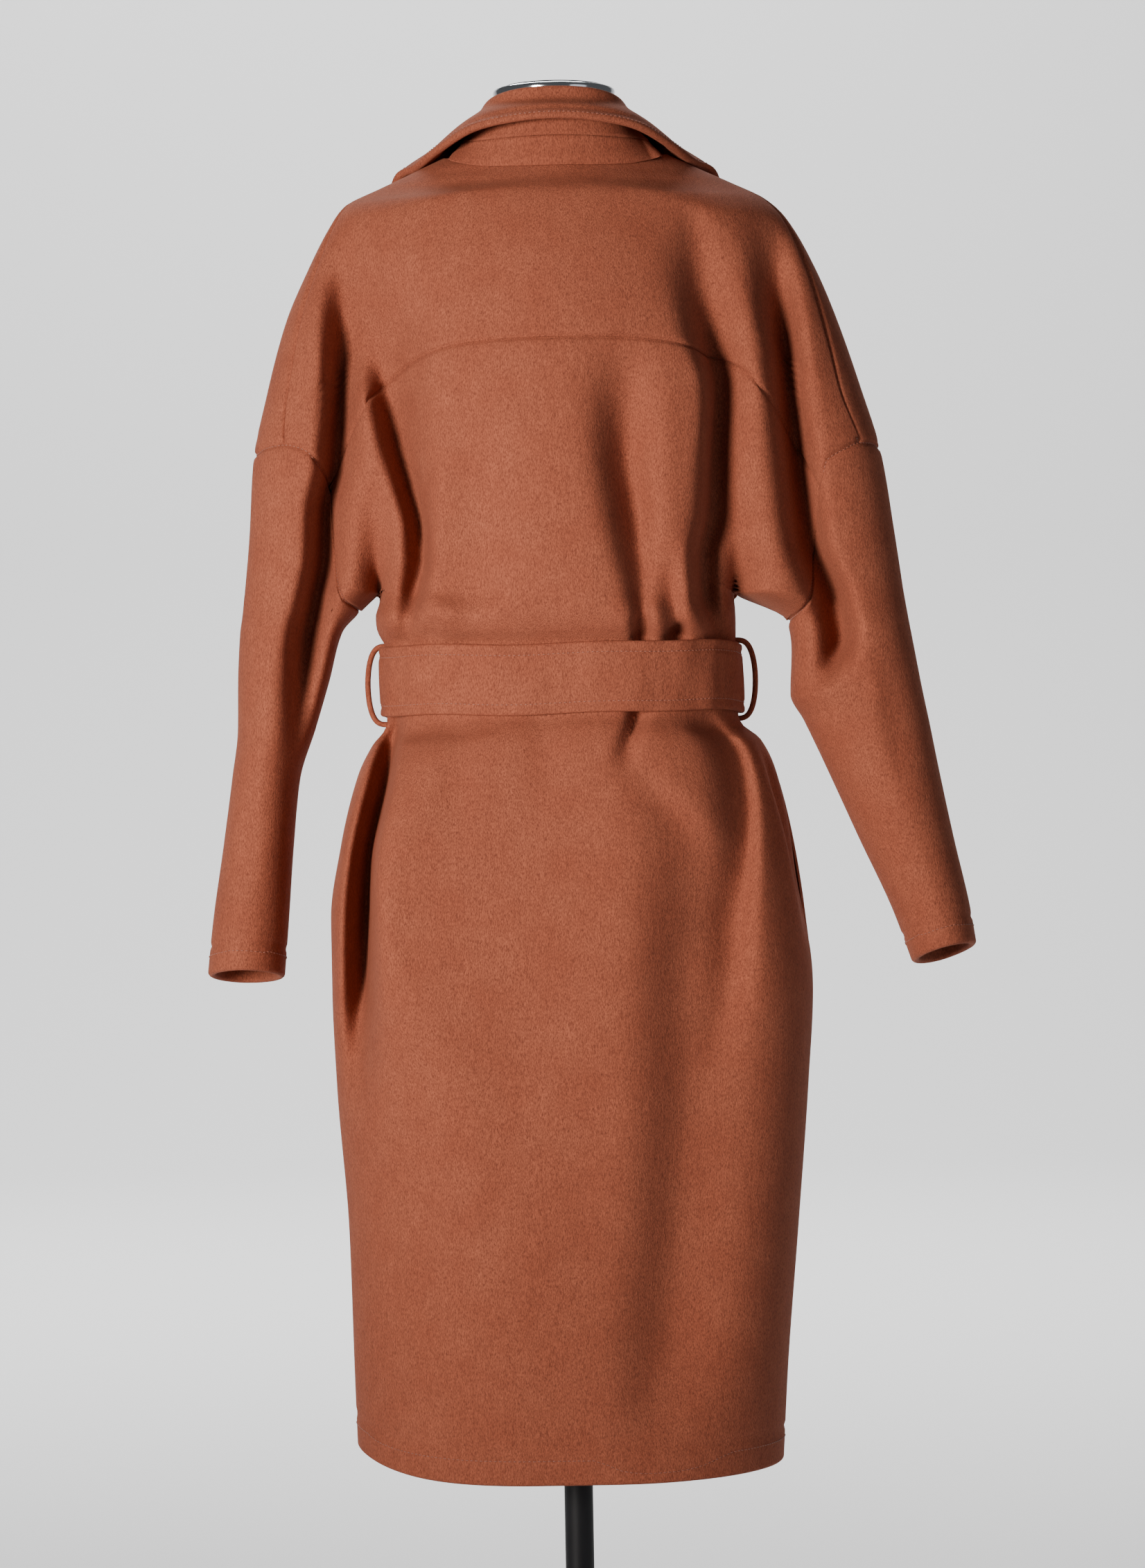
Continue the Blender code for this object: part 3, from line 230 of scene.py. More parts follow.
def smooth_through(at, value):
    """The cubic through values at rising places, with harmonic-mean slopes, so that it never overshoots."""
    at, value = np.asarray(at, float), np.asarray(value, float)
    chord = np.diff(value) / np.diff(at)
    slope = np.zeros(len(at))
    slope[0], slope[-1] = chord[0], chord[-1]
    same_way = chord[:-1] * chord[1:] > 0
    total = np.where(same_way, chord[:-1] + chord[1:], 1.0)
    slope[1:-1] = np.where(same_way, 2 * chord[:-1] * chord[1:] / total, 0.0)

    def at_place(place):
        """The cubic's value, as its two ends' values and slopes weighted by the four Hermite terms."""
        place = np.clip(place, at[0], at[-1])
        i = np.clip(np.searchsorted(at, place, side="right") - 1, 0, len(at) - 2)
        span = at[i + 1] - at[i]
        t = (place - at[i]) / span
        start = (1 + 2 * t) * (1 - t) ** 2 * value[i] + t * (1 - t) ** 2 * span * slope[i]
        end = t * t * (3 - 2 * t) * value[i + 1] + t * t * (t - 1) * span * slope[i + 1]
        return start + end

    return at_place


def curves(table):
    """A smooth curve for each named column of a table, over its first column."""
    names, rows = table[0], np.array(table[1:])
    return {name: smooth_through(rows[:, 0], rows[:, i]) for i, name in enumerate(names) if i > 0}


def form_points(rows, columns):
    """Level half-ellipses of the form's widths and depths, sunk a little along its four seams."""
    at = curves(FORM_ROWS)
    low, high = FORM_ROWS[1][0], FORM_ROWS[-1][0]
    z = low + (high - low) * (np.linspace(0, 1, rows) ** FORM_CROWDING)[:, None]
    angle = np.linspace(0, 2 * np.pi, columns, endpoint=False)[None, :]
    depth = np.where(np.sin(angle) >= 0, at["back"](z), at["front"](z))
    seam = np.abs((angle + np.pi / 4) % (np.pi / 2) - np.pi / 4) * at["half_width"](z)
    drawn_in = 1 - FORM_SEAM_DEPTH * np.exp(-((seam / FORM_SEAM_WIDTH) ** 2)) / at["half_width"](z)
    x = at["half_width"](z) * np.cos(angle) * drawn_in
    y = depth * np.sin(angle) * drawn_in
    body = np.stack(np.broadcast_arrays(x, y, z), axis=-1)
    shut = [np.broadcast_to(row.mean(axis=0), row.shape)[None] for row in (body[0], body[-1])]
    return np.concatenate([shut[0], body, shut[1]])


# Linen: a plain weave of uneven slubby threads, which shows as a fine cross-hatch with flecks. The thread
# pitch is drawn a little coarse so that it shows.
linen, tree, shader = new_finish(
    "linen_plain_weave_cream", Roughness=0.86, Sheen_Weight=0.15, Sheen_Roughness=0.5
)
place = node(tree, "ShaderNodeTexCoord")
warp, weft = (
    node(
        tree, "ShaderNodeTexWave", {"bands_direction": direction},
        {"Scale": 1 / (LINEN_THREAD * 20), "Distortion": 1.2, "Detail": 1.0}, {"Vector": (place, "Object")},
    )
    for direction in ("DIAGONAL", "Z")
)
slub = noise(tree, (place, "Object"), LINEN_SLUB, Detail=3.0)
weave = node(tree, "ShaderNodeMath", {"operation": "MULTIPLY"}, {}, {0: (warp, "Fac"), 1: (weft, "Fac")})
uneven = node(tree, "ShaderNodeMath", {"operation": "MULTIPLY"}, {}, {0: (weave, 0), 1: (slub, "Fac")})
tint = colour_between(tree, LINEN_SHADE, LINEN_CREAM, (slub, "Fac"))
finish_surface(tree, shader, tint, (uneven, 0), 0.5, 0.0004)

points = form_points(*FORM_GRID)
form = close_up(add_piece("dress_form", points, grid_faces(*points.shape[:2], True), linen), 60)
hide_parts("form_torso")

# The neck cap: a spun steel ring with a rolled rim and a shallow dished top, chromium plated. It sits on
# the form's neck and shows above the collar.
CHROME_TINT = "#D8DADD"
SPUN_LINE = 0.0006
HAZE_PATCH = 1 / 60
CAP_FLOOR = ((0.0, 1.4842), (0.0440, 1.4842))
CAP_ROUNDS = (
    ("radius", "z", "size", "first_angle", "last_angle", "steps"),
    (0.0490, 1.4862, 0.0020, -90, -20, 5),
    (0.0482, 1.4885, 0.0030, -20, 100, 9),
    (0.0450, 1.4945, 0.0030, 270, 200, 5),
)
CAP_DISH = ((0.0400, 1.4926), (0.0250, 1.4931), (0.0, 1.4932))
chrome, tree, shader = new_finish("chromium_plate_spun_steel", Metallic=1.0, Roughness=0.09)
shader.inputs["Base Color"].default_value = linear(CHROME_TINT)
place = node(tree, "ShaderNodeTexCoord")
spun = node(
    tree, "ShaderNodeTexWave", {"wave_type": "RINGS", "rings_direction": "Z"},
    {"Scale": 1 / (SPUN_LINE * 20), "Distortion": 0.6}, {"Vector": (place, "Object")},
)
haze = noise(tree, (place, "Object"), HAZE_PATCH, Detail=3.0)
gloss = node(tree, "ShaderNodeMapRange", {}, {"To Min": 0.06, "To Max": 0.16}, {"Value": (haze, "Fac")})
bump = node(tree, "ShaderNodeBump", {}, {"Strength": 0.04, "Distance": 0.0001}, {"Height": (spun, "Fac")})
tree.links.new(gloss.outputs[0], shader.inputs["Roughness"])
tree.links.new(bump.outputs["Normal"], shader.inputs["Normal"])
rim = [spot for row in CAP_ROUNDS[1:] for spot in rounded_corner(*row)]
cap = turned("neck_cap_chrome", [*CAP_FLOOR, *rim, *CAP_DISH], 128, chrome)
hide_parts("neck_cap")

# The back: one wide panel of felted wool from the curved yoke seam to the turned-up hem, cut on into the low
# batwing arms. It hangs off the shoulders, is drawn in by the belt and falls in long soft folds.
CLOTH = 0.003
SEAM_DEPTH = 0.0022
SEAM_ROLL = 0.0026
STITCH_DENT = 0.0011
STITCH_DENT_WIDTH = 0.0022
HEM_ROUND = 0.0034
HEM_TURN_UP = 0.030
HEM_STITCH = 0.025
SLEEVE_TOPSTITCH = 0.0085
HEM_SIDE_Z = {"left": 0.360, "right": 0.343}
PINCH_HEIGHT = 0.19
PINCH_ROUND = 0.050
ARM_JOIN = 0.030
PIT_EASE = 0.060
TRUNK = (
    ("z", "left", "right", "back", "front", "left_turn", "right_turn"),
    (0.342, 0.1835, 0.1720, 0.136, 0.132, 0.150, 0.150),
    (0.420, 0.1855, 0.1770, 0.137, 0.134, 0.150, 0.150),
    (0.540, 0.1880, 0.1880, 0.139, 0.137, 0.155, 0.155),
    (0.660, 0.1960, 0.1985, 0.141, 0.140, 0.125, 0.160),
    (0.740, 0.1985, 0.2035, 0.141, 0.140, 0.080, 0.160),
    (0.800, 0.1985, 0.1985, 0.139, 0.138, 0.060, 0.160),
    (0.860, 0.1895, 0.1900, 0.134, 0.134, 0.060, 0.155),
    (0.920, 0.1740, 0.1755, 0.124, 0.126, 0.080, 0.145),
    (0.946, 0.1610, 0.1630, 0.118, 0.119, 0.100, 0.135),
    (0.958, 0.1515, 0.1480, 0.112, 0.113, 0.125, 0.125),
    (0.966, 0.1490, 0.1450, 0.106, 0.109, 0.125, 0.125),
    (1.027, 0.1490, 0.1440, 0.106, 0.109, 0.120, 0.120),
    (1.033, 0.1520, 0.1441, 0.114, 0.115, 0.110, 0.110),
    (1.042, 0.1560, 0.1442, 0.121, 0.120, 0.095, 0.095),
    (1.052, 0.1568, 0.1440, 0.1255, 0.1235, 0.075, 0.075),
    (1.064, 0.1535, 0.1432, 0.1275, 0.1255, 0.052, 0.052),
    (1.0726, 0.1522, 0.1430, 0.128, 0.126, 0.050, 0.050),
)
UPPER = (
    ("z", "left", "right", "back", "front", "arm", "swell", "turn"),
    (1.0600, 0.2675, 0.2860, 0.128, 0.126, 0.060, 0.23, 0.055),
    (1.1200, 0.2615, 0.2780, 0.131, 0.131, 0.062, 0.23, 0.055),
    (1.1800, 0.2575, 0.2690, 0.131, 0.134, 0.062, 0.23, 0.055),
    (1.2400, 0.2445, 0.2515, 0.128, 0.133, 0.062, 0.23, 0.056),
    (1.3000, 0.2275, 0.2315, 0.121, 0.127, 0.060, 0.22, 0.058),
    (1.3400, 0.2100, 0.2150, 0.113, 0.118, 0.058, 0.21, 0.060),
    (1.3800, 0.1890, 0.1925, 0.100, 0.107, 0.056, 0.20, 0.062),
    (1.3960, 0.1770, 0.1760, 0.093, 0.101, 0.054, 0.19, 0.064),
    (1.4120, 0.1440, 0.1440, 0.075, 0.090, 0.050, 0.18, 0.060),
    (1.4240, 0.1180, 0.1180, 0.068, 0.082, 0.048, 0.17, 0.060),
    (1.4400, 0.0880, 0.0880, 0.062, 0.074, 0.046, 0.16, 0.060),
    (1.4700, 0.0700, 0.0700, 0.058, 0.068, 0.046, 0.16, 0.060),
)
LEFT_SLEEVE = (
    ("z", "outer", "inner", "depth", "middle"),
    (0.740, 0.3050, 0.2400, 0.046, -0.010),
    (0.800, 0.2980, 0.2345, 0.049, -0.009),
    (0.860, 0.2885, 0.2295, 0.053, -0.008),
    (0.920, 0.2795, 0.2225, 0.057, -0.006),
    (0.960, 0.2740, 0.2090, 0.059, -0.004),
    (1.000, 0.2730, 0.1965, 0.060, -0.002),
    (1.040, 0.2705, 0.1850, 0.060, 0.000),
    (1.0573, 0.2680, 0.1691, 0.060, 0.000),
    (1.0726, 0.2664, 0.1530, 0.060, 0.000),
)
RIGHT_SLEEVE = (
    ("z", "outer", "inner", "depth", "middle"),
    (0.740, 0.3460, 0.2930, 0.046, -0.010),
    (0.800, 0.3370, 0.2720, 0.049, -0.009),
    (0.860, 0.3240, 0.2450, 0.053, -0.008),
    (0.920, 0.3120, 0.2185, 0.057, -0.006),
    (0.960, 0.3045, 0.2000, 0.059, -0.004),
    (0.982, 0.3000, 0.1890, 0.060, -0.002),
    (1.020, 0.2930, 0.1905, 0.060, 0.000),
    (1.0428, 0.2890, 0.1874, 0.060, 0.000),
    (1.0662, 0.2852, 0.1440, 0.060, 0.000),
)
# The seam that joins a sleeve to the body, as x and z of ten places, from the arm's outline to the armpit.
LEFT_SEAM = (
    (0.2555, 1.1890), (0.2440, 1.1935), (0.2290, 1.1946), (0.2130, 1.1900), (0.2000, 1.1790),
    (0.1930, 1.1600), (0.1915, 1.1250), (0.1885, 1.0850), (0.1810, 1.0650), (0.1691, 1.0573),
)
RIGHT_SEAM = (
    (0.2680, 1.1860), (0.2600, 1.1890), (0.2490, 1.1885), (0.2340, 1.1820), (0.2190, 1.1720),
    (0.2125, 1.1500), (0.2110, 1.1120), (0.2090, 1.0760), (0.2010, 1.0530), (0.1874, 1.0428),
)
# The large folds. A fold sinks so deep, fades in and out over shares of its length, and runs down through
# places of x and z, each with the fold's width towards the left and towards the right.
FOLDS = (
    ("sheet", "depth", "fade_in", "fade_out", "places"),
    ("back", 0.056, 0.32, 0.30, (
        (0.172, 1.400, 0.018, 0.024), (0.178, 1.320, 0.014, 0.020), (0.181, 1.260, 0.010, 0.018),
        (0.184, 1.215, 0.009, 0.017), (0.188, 1.178, 0.009, 0.017), (0.197, 1.140, 0.009, 0.018),
        (0.199, 1.103, 0.009, 0.018), (0.207, 1.066, 0.009, 0.017), (0.213, 1.040, 0.010, 0.016),
        (0.220, 0.980, 0.012, 0.014), (0.226, 0.900, 0.012, 0.014),
    )),
    ("back", 0.052, 0.32, 0.12, (
        (-0.178, 1.400, 0.024, 0.018), (-0.183, 1.320, 0.019, 0.013), (-0.190, 1.265, 0.016, 0.010),
        (-0.195, 1.212, 0.016, 0.009), (-0.202, 1.155, 0.018, 0.009), (-0.209, 1.108, 0.020, 0.008),
        (-0.226, 1.062, 0.020, 0.008), (-0.231, 1.030, 0.018, 0.009), (-0.222, 1.003, 0.014, 0.011),
        (-0.203, 0.980, 0.012, 0.014),
    )),
    ("back", 0.052, 0.32, 0.25, (
        (0.152, 1.360, 0.026, 0.036), (0.147, 1.280, 0.022, 0.032), (0.142, 1.237, 0.015, 0.027),
        (0.134, 1.191, 0.011, 0.021), (0.125, 1.157, 0.010, 0.015), (0.117, 1.123, 0.010, 0.009),
        (0.116, 1.100, 0.012, 0.008), (0.1215, 1.072, 0.012, 0.008), (0.129, 1.032, 0.011, 0.008),
        (0.132, 0.995, 0.010, 0.008),
    )),
    ("back", 0.048, 0.36, 0.20, (
        (-0.110, 1.385, 0.028, 0.030), (-0.119, 1.320, 0.020, 0.026), (-0.124, 1.277, 0.014, 0.023),
        (-0.131, 1.236, 0.009, 0.020), (-0.128, 1.186, 0.008, 0.019), (-0.124, 1.130, 0.008, 0.018),
        (-0.116, 1.096, 0.008, 0.016), (-0.1175, 1.062, 0.008, 0.014), (-0.129, 1.028, 0.007, 0.012),
        (-0.134, 0.995, 0.008, 0.010),
    )),
    ("back", 0.034, 0.45, 0.48, (
        (-0.050, 1.295, 0.028, 0.026), (-0.054, 1.248, 0.025, 0.022), (-0.054, 1.211, 0.022, 0.020),
        (-0.0545, 1.174, 0.020, 0.018), (-0.059, 1.136, 0.018, 0.015), (-0.062, 1.099, 0.015, 0.013),
        (-0.065, 1.061, 0.011, 0.010), (-0.0655, 1.039, 0.009, 0.008), (-0.066, 1.000, 0.008, 0.008),
    )),
    ("back", 0.012, 0.60, 0.10, (
        (-0.061, 1.080, 0.009, 0.007), (-0.0645, 1.050, 0.007, 0.005), (-0.066, 1.005, 0.006, 0.005),
    )),
    ("back", 0.016, 0.50, 0.15, (
        (-0.082, 1.120, 0.020, 0.014), (-0.089, 1.060, 0.014, 0.008), (-0.0955, 1.025, 0.010, 0.006),
        (-0.098, 1.000, 0.010, 0.006),
    )),
    ("back", 0.008, 0.40, 0.30, (
        (0.076, 1.240, 0.024, 0.024), (0.070, 1.130, 0.024, 0.024), (0.085, 0.985, 0.018, 0.018),
    )),
    ("back", 0.017, 0.12, 0.70, (
        (-0.061, 0.978, 0.007, 0.007), (-0.0596, 0.9646, 0.007, 0.007), (-0.0510, 0.940, 0.008, 0.007),
        (-0.0470, 0.910, 0.012, 0.010),
    )),
    ("back", 0.030, 0.32, 0.22, (
        (-0.056, 0.960, 0.016, 0.012), (-0.066, 0.912, 0.020, 0.014), (-0.086, 0.886, 0.024, 0.018),
        (-0.104, 0.848, 0.032, 0.028), (-0.106, 0.799, 0.036, 0.036), (-0.101, 0.749, 0.036, 0.046),
        (-0.100, 0.699, 0.036, 0.054), (-0.099, 0.649, 0.036, 0.055), (-0.094, 0.599, 0.036, 0.055),
        (-0.090, 0.550, 0.036, 0.052), (-0.084, 0.500, 0.036, 0.050), (-0.078, 0.450, 0.036, 0.046),
        (-0.068, 0.400, 0.030, 0.042), (-0.064, 0.340, 0.030, 0.040),
    )),
    ("back", 0.030, 0.12, 0.60, (
        (-0.110, 0.976, 0.014, 0.008), (-0.120, 0.960, 0.016, 0.008), (-0.141, 0.935, 0.018, 0.007),
        (-0.147, 0.910, 0.020, 0.007), (-0.149, 0.885, 0.022, 0.007), (-0.147, 0.850, 0.022, 0.008),
        (-0.138, 0.800, 0.020, 0.012), (-0.133, 0.750, 0.018, 0.014), (-0.123, 0.700, 0.018, 0.016),
        (-0.114, 0.640, 0.018, 0.018),
    )),
    ("back", 0.110, 0.08, 0.42, (
        (0.139, 0.980, 0.012, 0.006), (0.146, 0.940, 0.013, 0.006), (0.150, 0.915, 0.014, 0.006),
        (0.156, 0.890, 0.014, 0.006), (0.164, 0.853, 0.014, 0.006), (0.168, 0.800, 0.014, 0.008),
        (0.171, 0.754, 0.014, 0.010), (0.175, 0.700, 0.014, 0.013), (0.178, 0.620, 0.014, 0.016),
    )),
    ("front", 0.028, 0.45, 0.40, (
        (0.176, 1.370, 0.018, 0.024), (0.190, 1.140, 0.018, 0.024), (0.205, 0.900, 0.018, 0.024),
    )),
    ("front", 0.028, 0.45, 0.40, (
        (-0.184, 1.370, 0.024, 0.018), (-0.200, 1.150, 0.024, 0.018), (-0.210, 0.930, 0.024, 0.018),
    )),
    ("front", 0.018, 0.45, 0.35, (
        (0.130, 1.260, 0.022, 0.018), (0.126, 1.120, 0.022, 0.018), (0.122, 0.980, 0.022, 0.018),
    )),
    ("front", 0.018, 0.45, 0.35, (
        (-0.130, 1.260, 0.018, 0.022), (-0.126, 1.120, 0.018, 0.022), (-0.122, 0.980, 0.018, 0.022),
    )),
    ("front", 0.013, 0.12, 0.70, (
        (0.120, 0.990, 0.024, 0.020), (0.128, 0.860, 0.024, 0.020), (0.130, 0.560, 0.024, 0.020),
    )),
    ("front", 0.014, 0.12, 0.70, (
        (-0.110, 0.990, 0.020, 0.024), (-0.122, 0.840, 0.020, 0.024), (-0.126, 0.520, 0.020, 0.024),
    )),
)
# The soft creases on top of the folds, each a curve through three places; a negative depth is a ridge.
CREASES = (
    ("sheet", "x_top", "z_top", "x_mid", "z_mid", "x_end", "z_end", "depth", "left_width", "right_width"),
    ("back", 0.158, 1.385, 0.154, 1.340, 0.158, 1.290, 0.0035, 0.012, 0.012),
    ("back", -0.108, 1.395, -0.118, 1.350, -0.128, 1.300, 0.0050, 0.014, 0.010),
    ("back", -0.090, 1.040, -0.094, 1.032, -0.096, 1.020, 0.0060, 0.008, 0.008),
    ("back", -0.060, 1.050, -0.064, 1.036, -0.066, 1.020, 0.0035, 0.008, 0.010),
    ("back", 0.105, 1.060, 0.112, 1.040, 0.116, 1.022, 0.0040, 0.008, 0.010),
    ("back", 0.020, 0.985, 0.018, 0.940, 0.012, 0.880, 0.0025, 0.014, 0.016),
    ("back", 0.085, 0.985, 0.088, 0.930, 0.094, 0.840, 0.0030, 0.016, 0.014),
    ("back", 0.040, 0.800, 0.046, 0.660, 0.052, 0.480, 0.0030, 0.040, 0.034),
    ("back", 0.120, 0.700, 0.124, 0.560, 0.120, 0.400, 0.0035, 0.030, 0.026),
    ("back", -0.020, 0.720, -0.016, 0.560, -0.022, 0.400, 0.0030, 0.030, 0.034),
    ("back", -0.1545, 0.958, -0.186, 0.865, -0.2005, 0.757, 0.0060, 0.0035, 0.0030),
    ("back", 0.240, 1.050, 0.236, 0.980, 0.242, 0.900, -0.0030, 0.012, 0.014),
    ("back", 0.262, 0.930, 0.264, 0.880, 0.272, 0.820, 0.0025, 0.010, 0.012),
    ("back", -0.265, 1.020, -0.272, 0.960, -0.284, 0.890, 0.0030, 0.012, 0.016),
    ("back", -0.215, 0.996, -0.238, 0.985, -0.262, 0.984, 0.0050, 0.012, 0.010),
    ("front", 0.030, 1.180, 0.040, 1.110, 0.062, 1.024, 0.0050, 0.014, 0.018),
    ("front", -0.040, 1.200, -0.052, 1.120, -0.070, 1.024, 0.0045, 0.016, 0.012),
    ("front", 0.090, 1.110, 0.094, 1.070, 0.096, 1.022, 0.0050, 0.010, 0.012),
    ("front", -0.090, 1.100, -0.092, 1.060, -0.100, 1.022, 0.0045, 0.010, 0.010),
    ("front", 0.055, 0.975, 0.062, 0.900, 0.072, 0.780, 0.0045, 0.014, 0.020),
    ("front", -0.060, 0.975, -0.070, 0.880, -0.078, 0.720, 0.0050, 0.018, 0.014),
    ("front", 0.020, 0.760, 0.030, 0.600, 0.030, 0.420, 0.0035, 0.034, 0.030),
    ("front", -0.105, 0.620, -0.100, 0.500, -0.104, 0.390, 0.0030, 0.026, 0.030),
    ("front", 0.236, 1.060, 0.232, 0.990, 0.240, 0.900, 0.0040, 0.012, 0.016),
    ("front", -0.250, 1.040, -0.262, 0.970, -0.280, 0.890, 0.0040, 0.016, 0.012),
    ("front", 0.232, 1.000, 0.252, 0.985, 0.268, 0.984, 0.0040, 0.010, 0.012),
    ("front", -0.210, 1.010, -0.240, 0.992, -0.276, 0.990, 0.0045, 0.010, 0.012),
)
RUST = "#98523B"
RUST_LIGHT = "#A55E45"
RUST_DARK = "#673426"
RUST_SHEEN = "#D08A68"
CREASE_PLACES = 17
CREASE_FADE = 0.4
FIBRE = 0.0008
FELTED_TUFT = 0.0045
MOTTLE = 0.030


def ease(t):
    """Rises from 0 to 1 as t does, as three squares less two cubes."""
    t = np.clip(t, 0.0, 1.0)
    return t * t * (3 - 2 * t)


def quarter_round(distance, radius):
    """Height of a quarter circle as a share of its radius, at a distance in from its edge."""
    inside = np.clip(distance / radius, 0.0, 1.0)
    return np.sqrt(np.clip(1 - (1 - inside) ** 2, 0.0, 1.0))


trunk_at, upper_at = curves(TRUNK), curves(UPPER)
sides = {
    name: {
        "sign": sign, "sleeve": curves(sleeve), "seam": np.array(seam),
        "pit_z": sleeve[-1][0], "pit_x": sleeve[-1][2],
    }
    for name, sign, sleeve, seam in (
        ("left", 1, LEFT_SLEEVE, LEFT_SEAM), ("right", -1, RIGHT_SLEEVE, RIGHT_SEAM),
    )
}


def square_distance(gap, curve, z, share=1.0):
    """A level gap to an outline made square to it, by a share of the outline's slope at that height."""
    step = 0.001
    slope = (curve(z + step) - curve(z - step)) / (2 * step)
    return gap / np.sqrt(1 + share * slope**2)


def half_depth(sheet, name, x, z):
    """Share left by the turned outline, and depth of one half of a sheet before its folds.

    Above the armpit the depth falls from the middle of the coat to the arm's by a square-of-square swell.
    Below it the trunk and the sleeve have their own depths, joined over a short height.
    """
    side = sides[name]
    pit_z, inner, outer = side["pit_z"], side["sleeve"]["inner"](z), side["sleeve"]["outer"](z)
    trunk, upper = trunk_at[name](z), upper_at[name](z)
    in_sleeve = (z < pit_z) & (x > 0.5 * (trunk + inner))
    half = np.minimum(0.5 * (outer - inner), upper_at["turn"](z))
    from_outer = square_distance(outer - x, side["sleeve"]["outer"], z)
    from_inner = square_distance(x - inner, side["sleeve"]["inner"], z, ease((pit_z - z) / PIT_EASE))
    sleeve_share = quarter_round(from_outer, half) * quarter_round(from_inner, np.minimum(half, PINCH_ROUND))
    by_the_edge = 1 - ease((trunk - x) / PIT_EASE)
    from_side = square_distance(trunk - x, trunk_at[name], z, by_the_edge)
    body_share = quarter_round(from_side, trunk_at[name + "_turn"](z))
    from_pit = np.hypot(x - side["pit_x"], np.maximum(z - pit_z, 0.0) * PINCH_ROUND / PINCH_HEIGHT)
    whole = quarter_round(square_distance(upper - x, upper_at[name], z), upper_at["turn"](z))
    above = whole * quarter_round(from_pit, PINCH_ROUND)
    share = np.where(z >= pit_z, above, np.where(in_sleeve, sleeve_share, body_share))
    swell = (1 - np.clip(x / upper_at["swell"](z), 0.0, 1.0) ** 2) ** 2
    arm = upper_at["arm"](z)
    chest = arm + (upper_at[sheet](z) - arm) * swell
    joined = ease((z - (pit_z - ARM_JOIN)) / ARM_JOIN)
    body = trunk_at[sheet](z) * (1 - joined) + chest * joined
    sleeve = side["sleeve"]["depth"](z) * (1 - joined) + chest * joined
    depth = np.where(z >= pit_z, chest, np.where(in_sleeve, sleeve, body))
    middle = np.where(in_sleeve, side["sleeve"]["middle"](z), 0.0)
    return share, depth * share + (middle if sheet == "back" else -middle)


def fold_depth(sheet, x, z):
    """Sum of the large folds: a bell across each fold's smooth path, eased in and out along it."""
    total = np.zeros_like(x)
    for row in FOLDS[1:]:
        fold = dict(zip(FOLDS[0], row))
        if fold["sheet"] == sheet:
            places = np.array(fold["places"])[::-1]
            heights = places[:, 1]
            middle, left, right = (smooth_through(heights, places[:, i])(z) for i in (0, 2, 3))
            across = x - middle
            along = (heights[-1] - z) / (heights[-1] - heights[0])
            strength = ease(along / fold["fade_in"]) * ease((1 - along) / fold["fade_out"])
            total += fold["depth"] * strength * np.exp(-((across / np.where(across > 0, left, right)) ** 2))
    return total


def sheet_y(sheet, x, z):
    """Depth of the back or front sheet at signed x and height z: its two halves less the folds."""
    x, z = np.broadcast_arrays(np.asarray(x, float), np.asarray(z, float))
    halves = (half_depth(sheet, name, np.abs(x), z) for name in ("left", "right"))
    share, depth = (np.where(x >= 0, left, right) for left, right in zip(*halves))
    out = depth - fold_depth(sheet, x, z) * share
    return out if sheet == "back" else -out


def crease_depth(toward, x, z):
    """Sum of the soft creases: a bell across the nearest place of each curved path, fading to both ends."""
    total = np.zeros_like(x)
    t = np.linspace(0, 1, CREASE_PLACES)[:, None]
    for row in CREASES[1:]:
        crease = dict(zip(CREASES[0], row))
        top, middle, end = (np.array([crease["x_" + k], crease["z_" + k]]) for k in ("top", "mid", "end"))
        bend = 2 * middle - 0.5 * (top + end)
        path = (1 - t) ** 2 * top + 2 * t * (1 - t) * bend + t * t * end
        reach = 3 * max(crease["left_width"], crease["right_width"])
        near = (x > path[:, 0].min() - reach) & (x < path[:, 0].max() + reach)
        near &= (z > path[:, 1].min() - reach) & (z < path[:, 1].max() + reach)
        near &= toward == (1 if crease["sheet"] == "back" else -1)
        place = np.stack([x[near], z[near]], axis=-1)[:, None, :] - path[None]
        closest = np.argmin(np.sum(place**2, axis=-1), axis=1)
        tangent = np.gradient(path, axis=0)
        tangent /= np.linalg.norm(tangent, axis=1, keepdims=True)
        off = place[np.arange(len(closest)), closest]
        way = tangent[closest]
        across = off[:, 1] * way[:, 0] - off[:, 0] * way[:, 1]
        beyond = off[:, 0] * way[:, 0] + off[:, 1] * way[:, 1]
        width = np.where(across > 0, crease["left_width"], crease["right_width"])
        along = (closest + beyond / np.linalg.norm(np.diff(path, axis=0), axis=1).mean()) / (len(path) - 1)
        strength = ease(along / CREASE_FADE) * ease((1 - along) / CREASE_FADE)
        total[near] += crease["depth"] * strength * np.exp(-((across / width) ** 2))
    return total


def grid_normals(points, closed, outward):
    """Unit normals of a grid of points, from its slopes along rows and columns, turned to face outward."""
    if closed:
        along = np.roll(points, -1, axis=1) - np.roll(points, 1, axis=1)
    else:
        along = np.gradient(points, axis=1)
    normal = np.cross(np.gradient(points, axis=0), along)
    normal /= np.maximum(np.linalg.norm(normal, axis=-1, keepdims=True), 1e-12)
    return normal * (1 if np.sum(normal * outward) > 0 else -1)


def from_edge(points, edge):
    """Distance of each grid point from one edge of its grid, added up along the grid's lines."""
    axis = 0 if edge in ("top", "end") else 1
    steps = np.linalg.norm(np.diff(points, axis=axis), axis=-1)
    start = np.zeros_like(steps.take([0], axis=axis))
    total = np.concatenate([start, np.cumsum(steps, axis=axis)], axis=axis)
    return total if edge in ("top", "start") else total.take([-1], axis=axis) - total


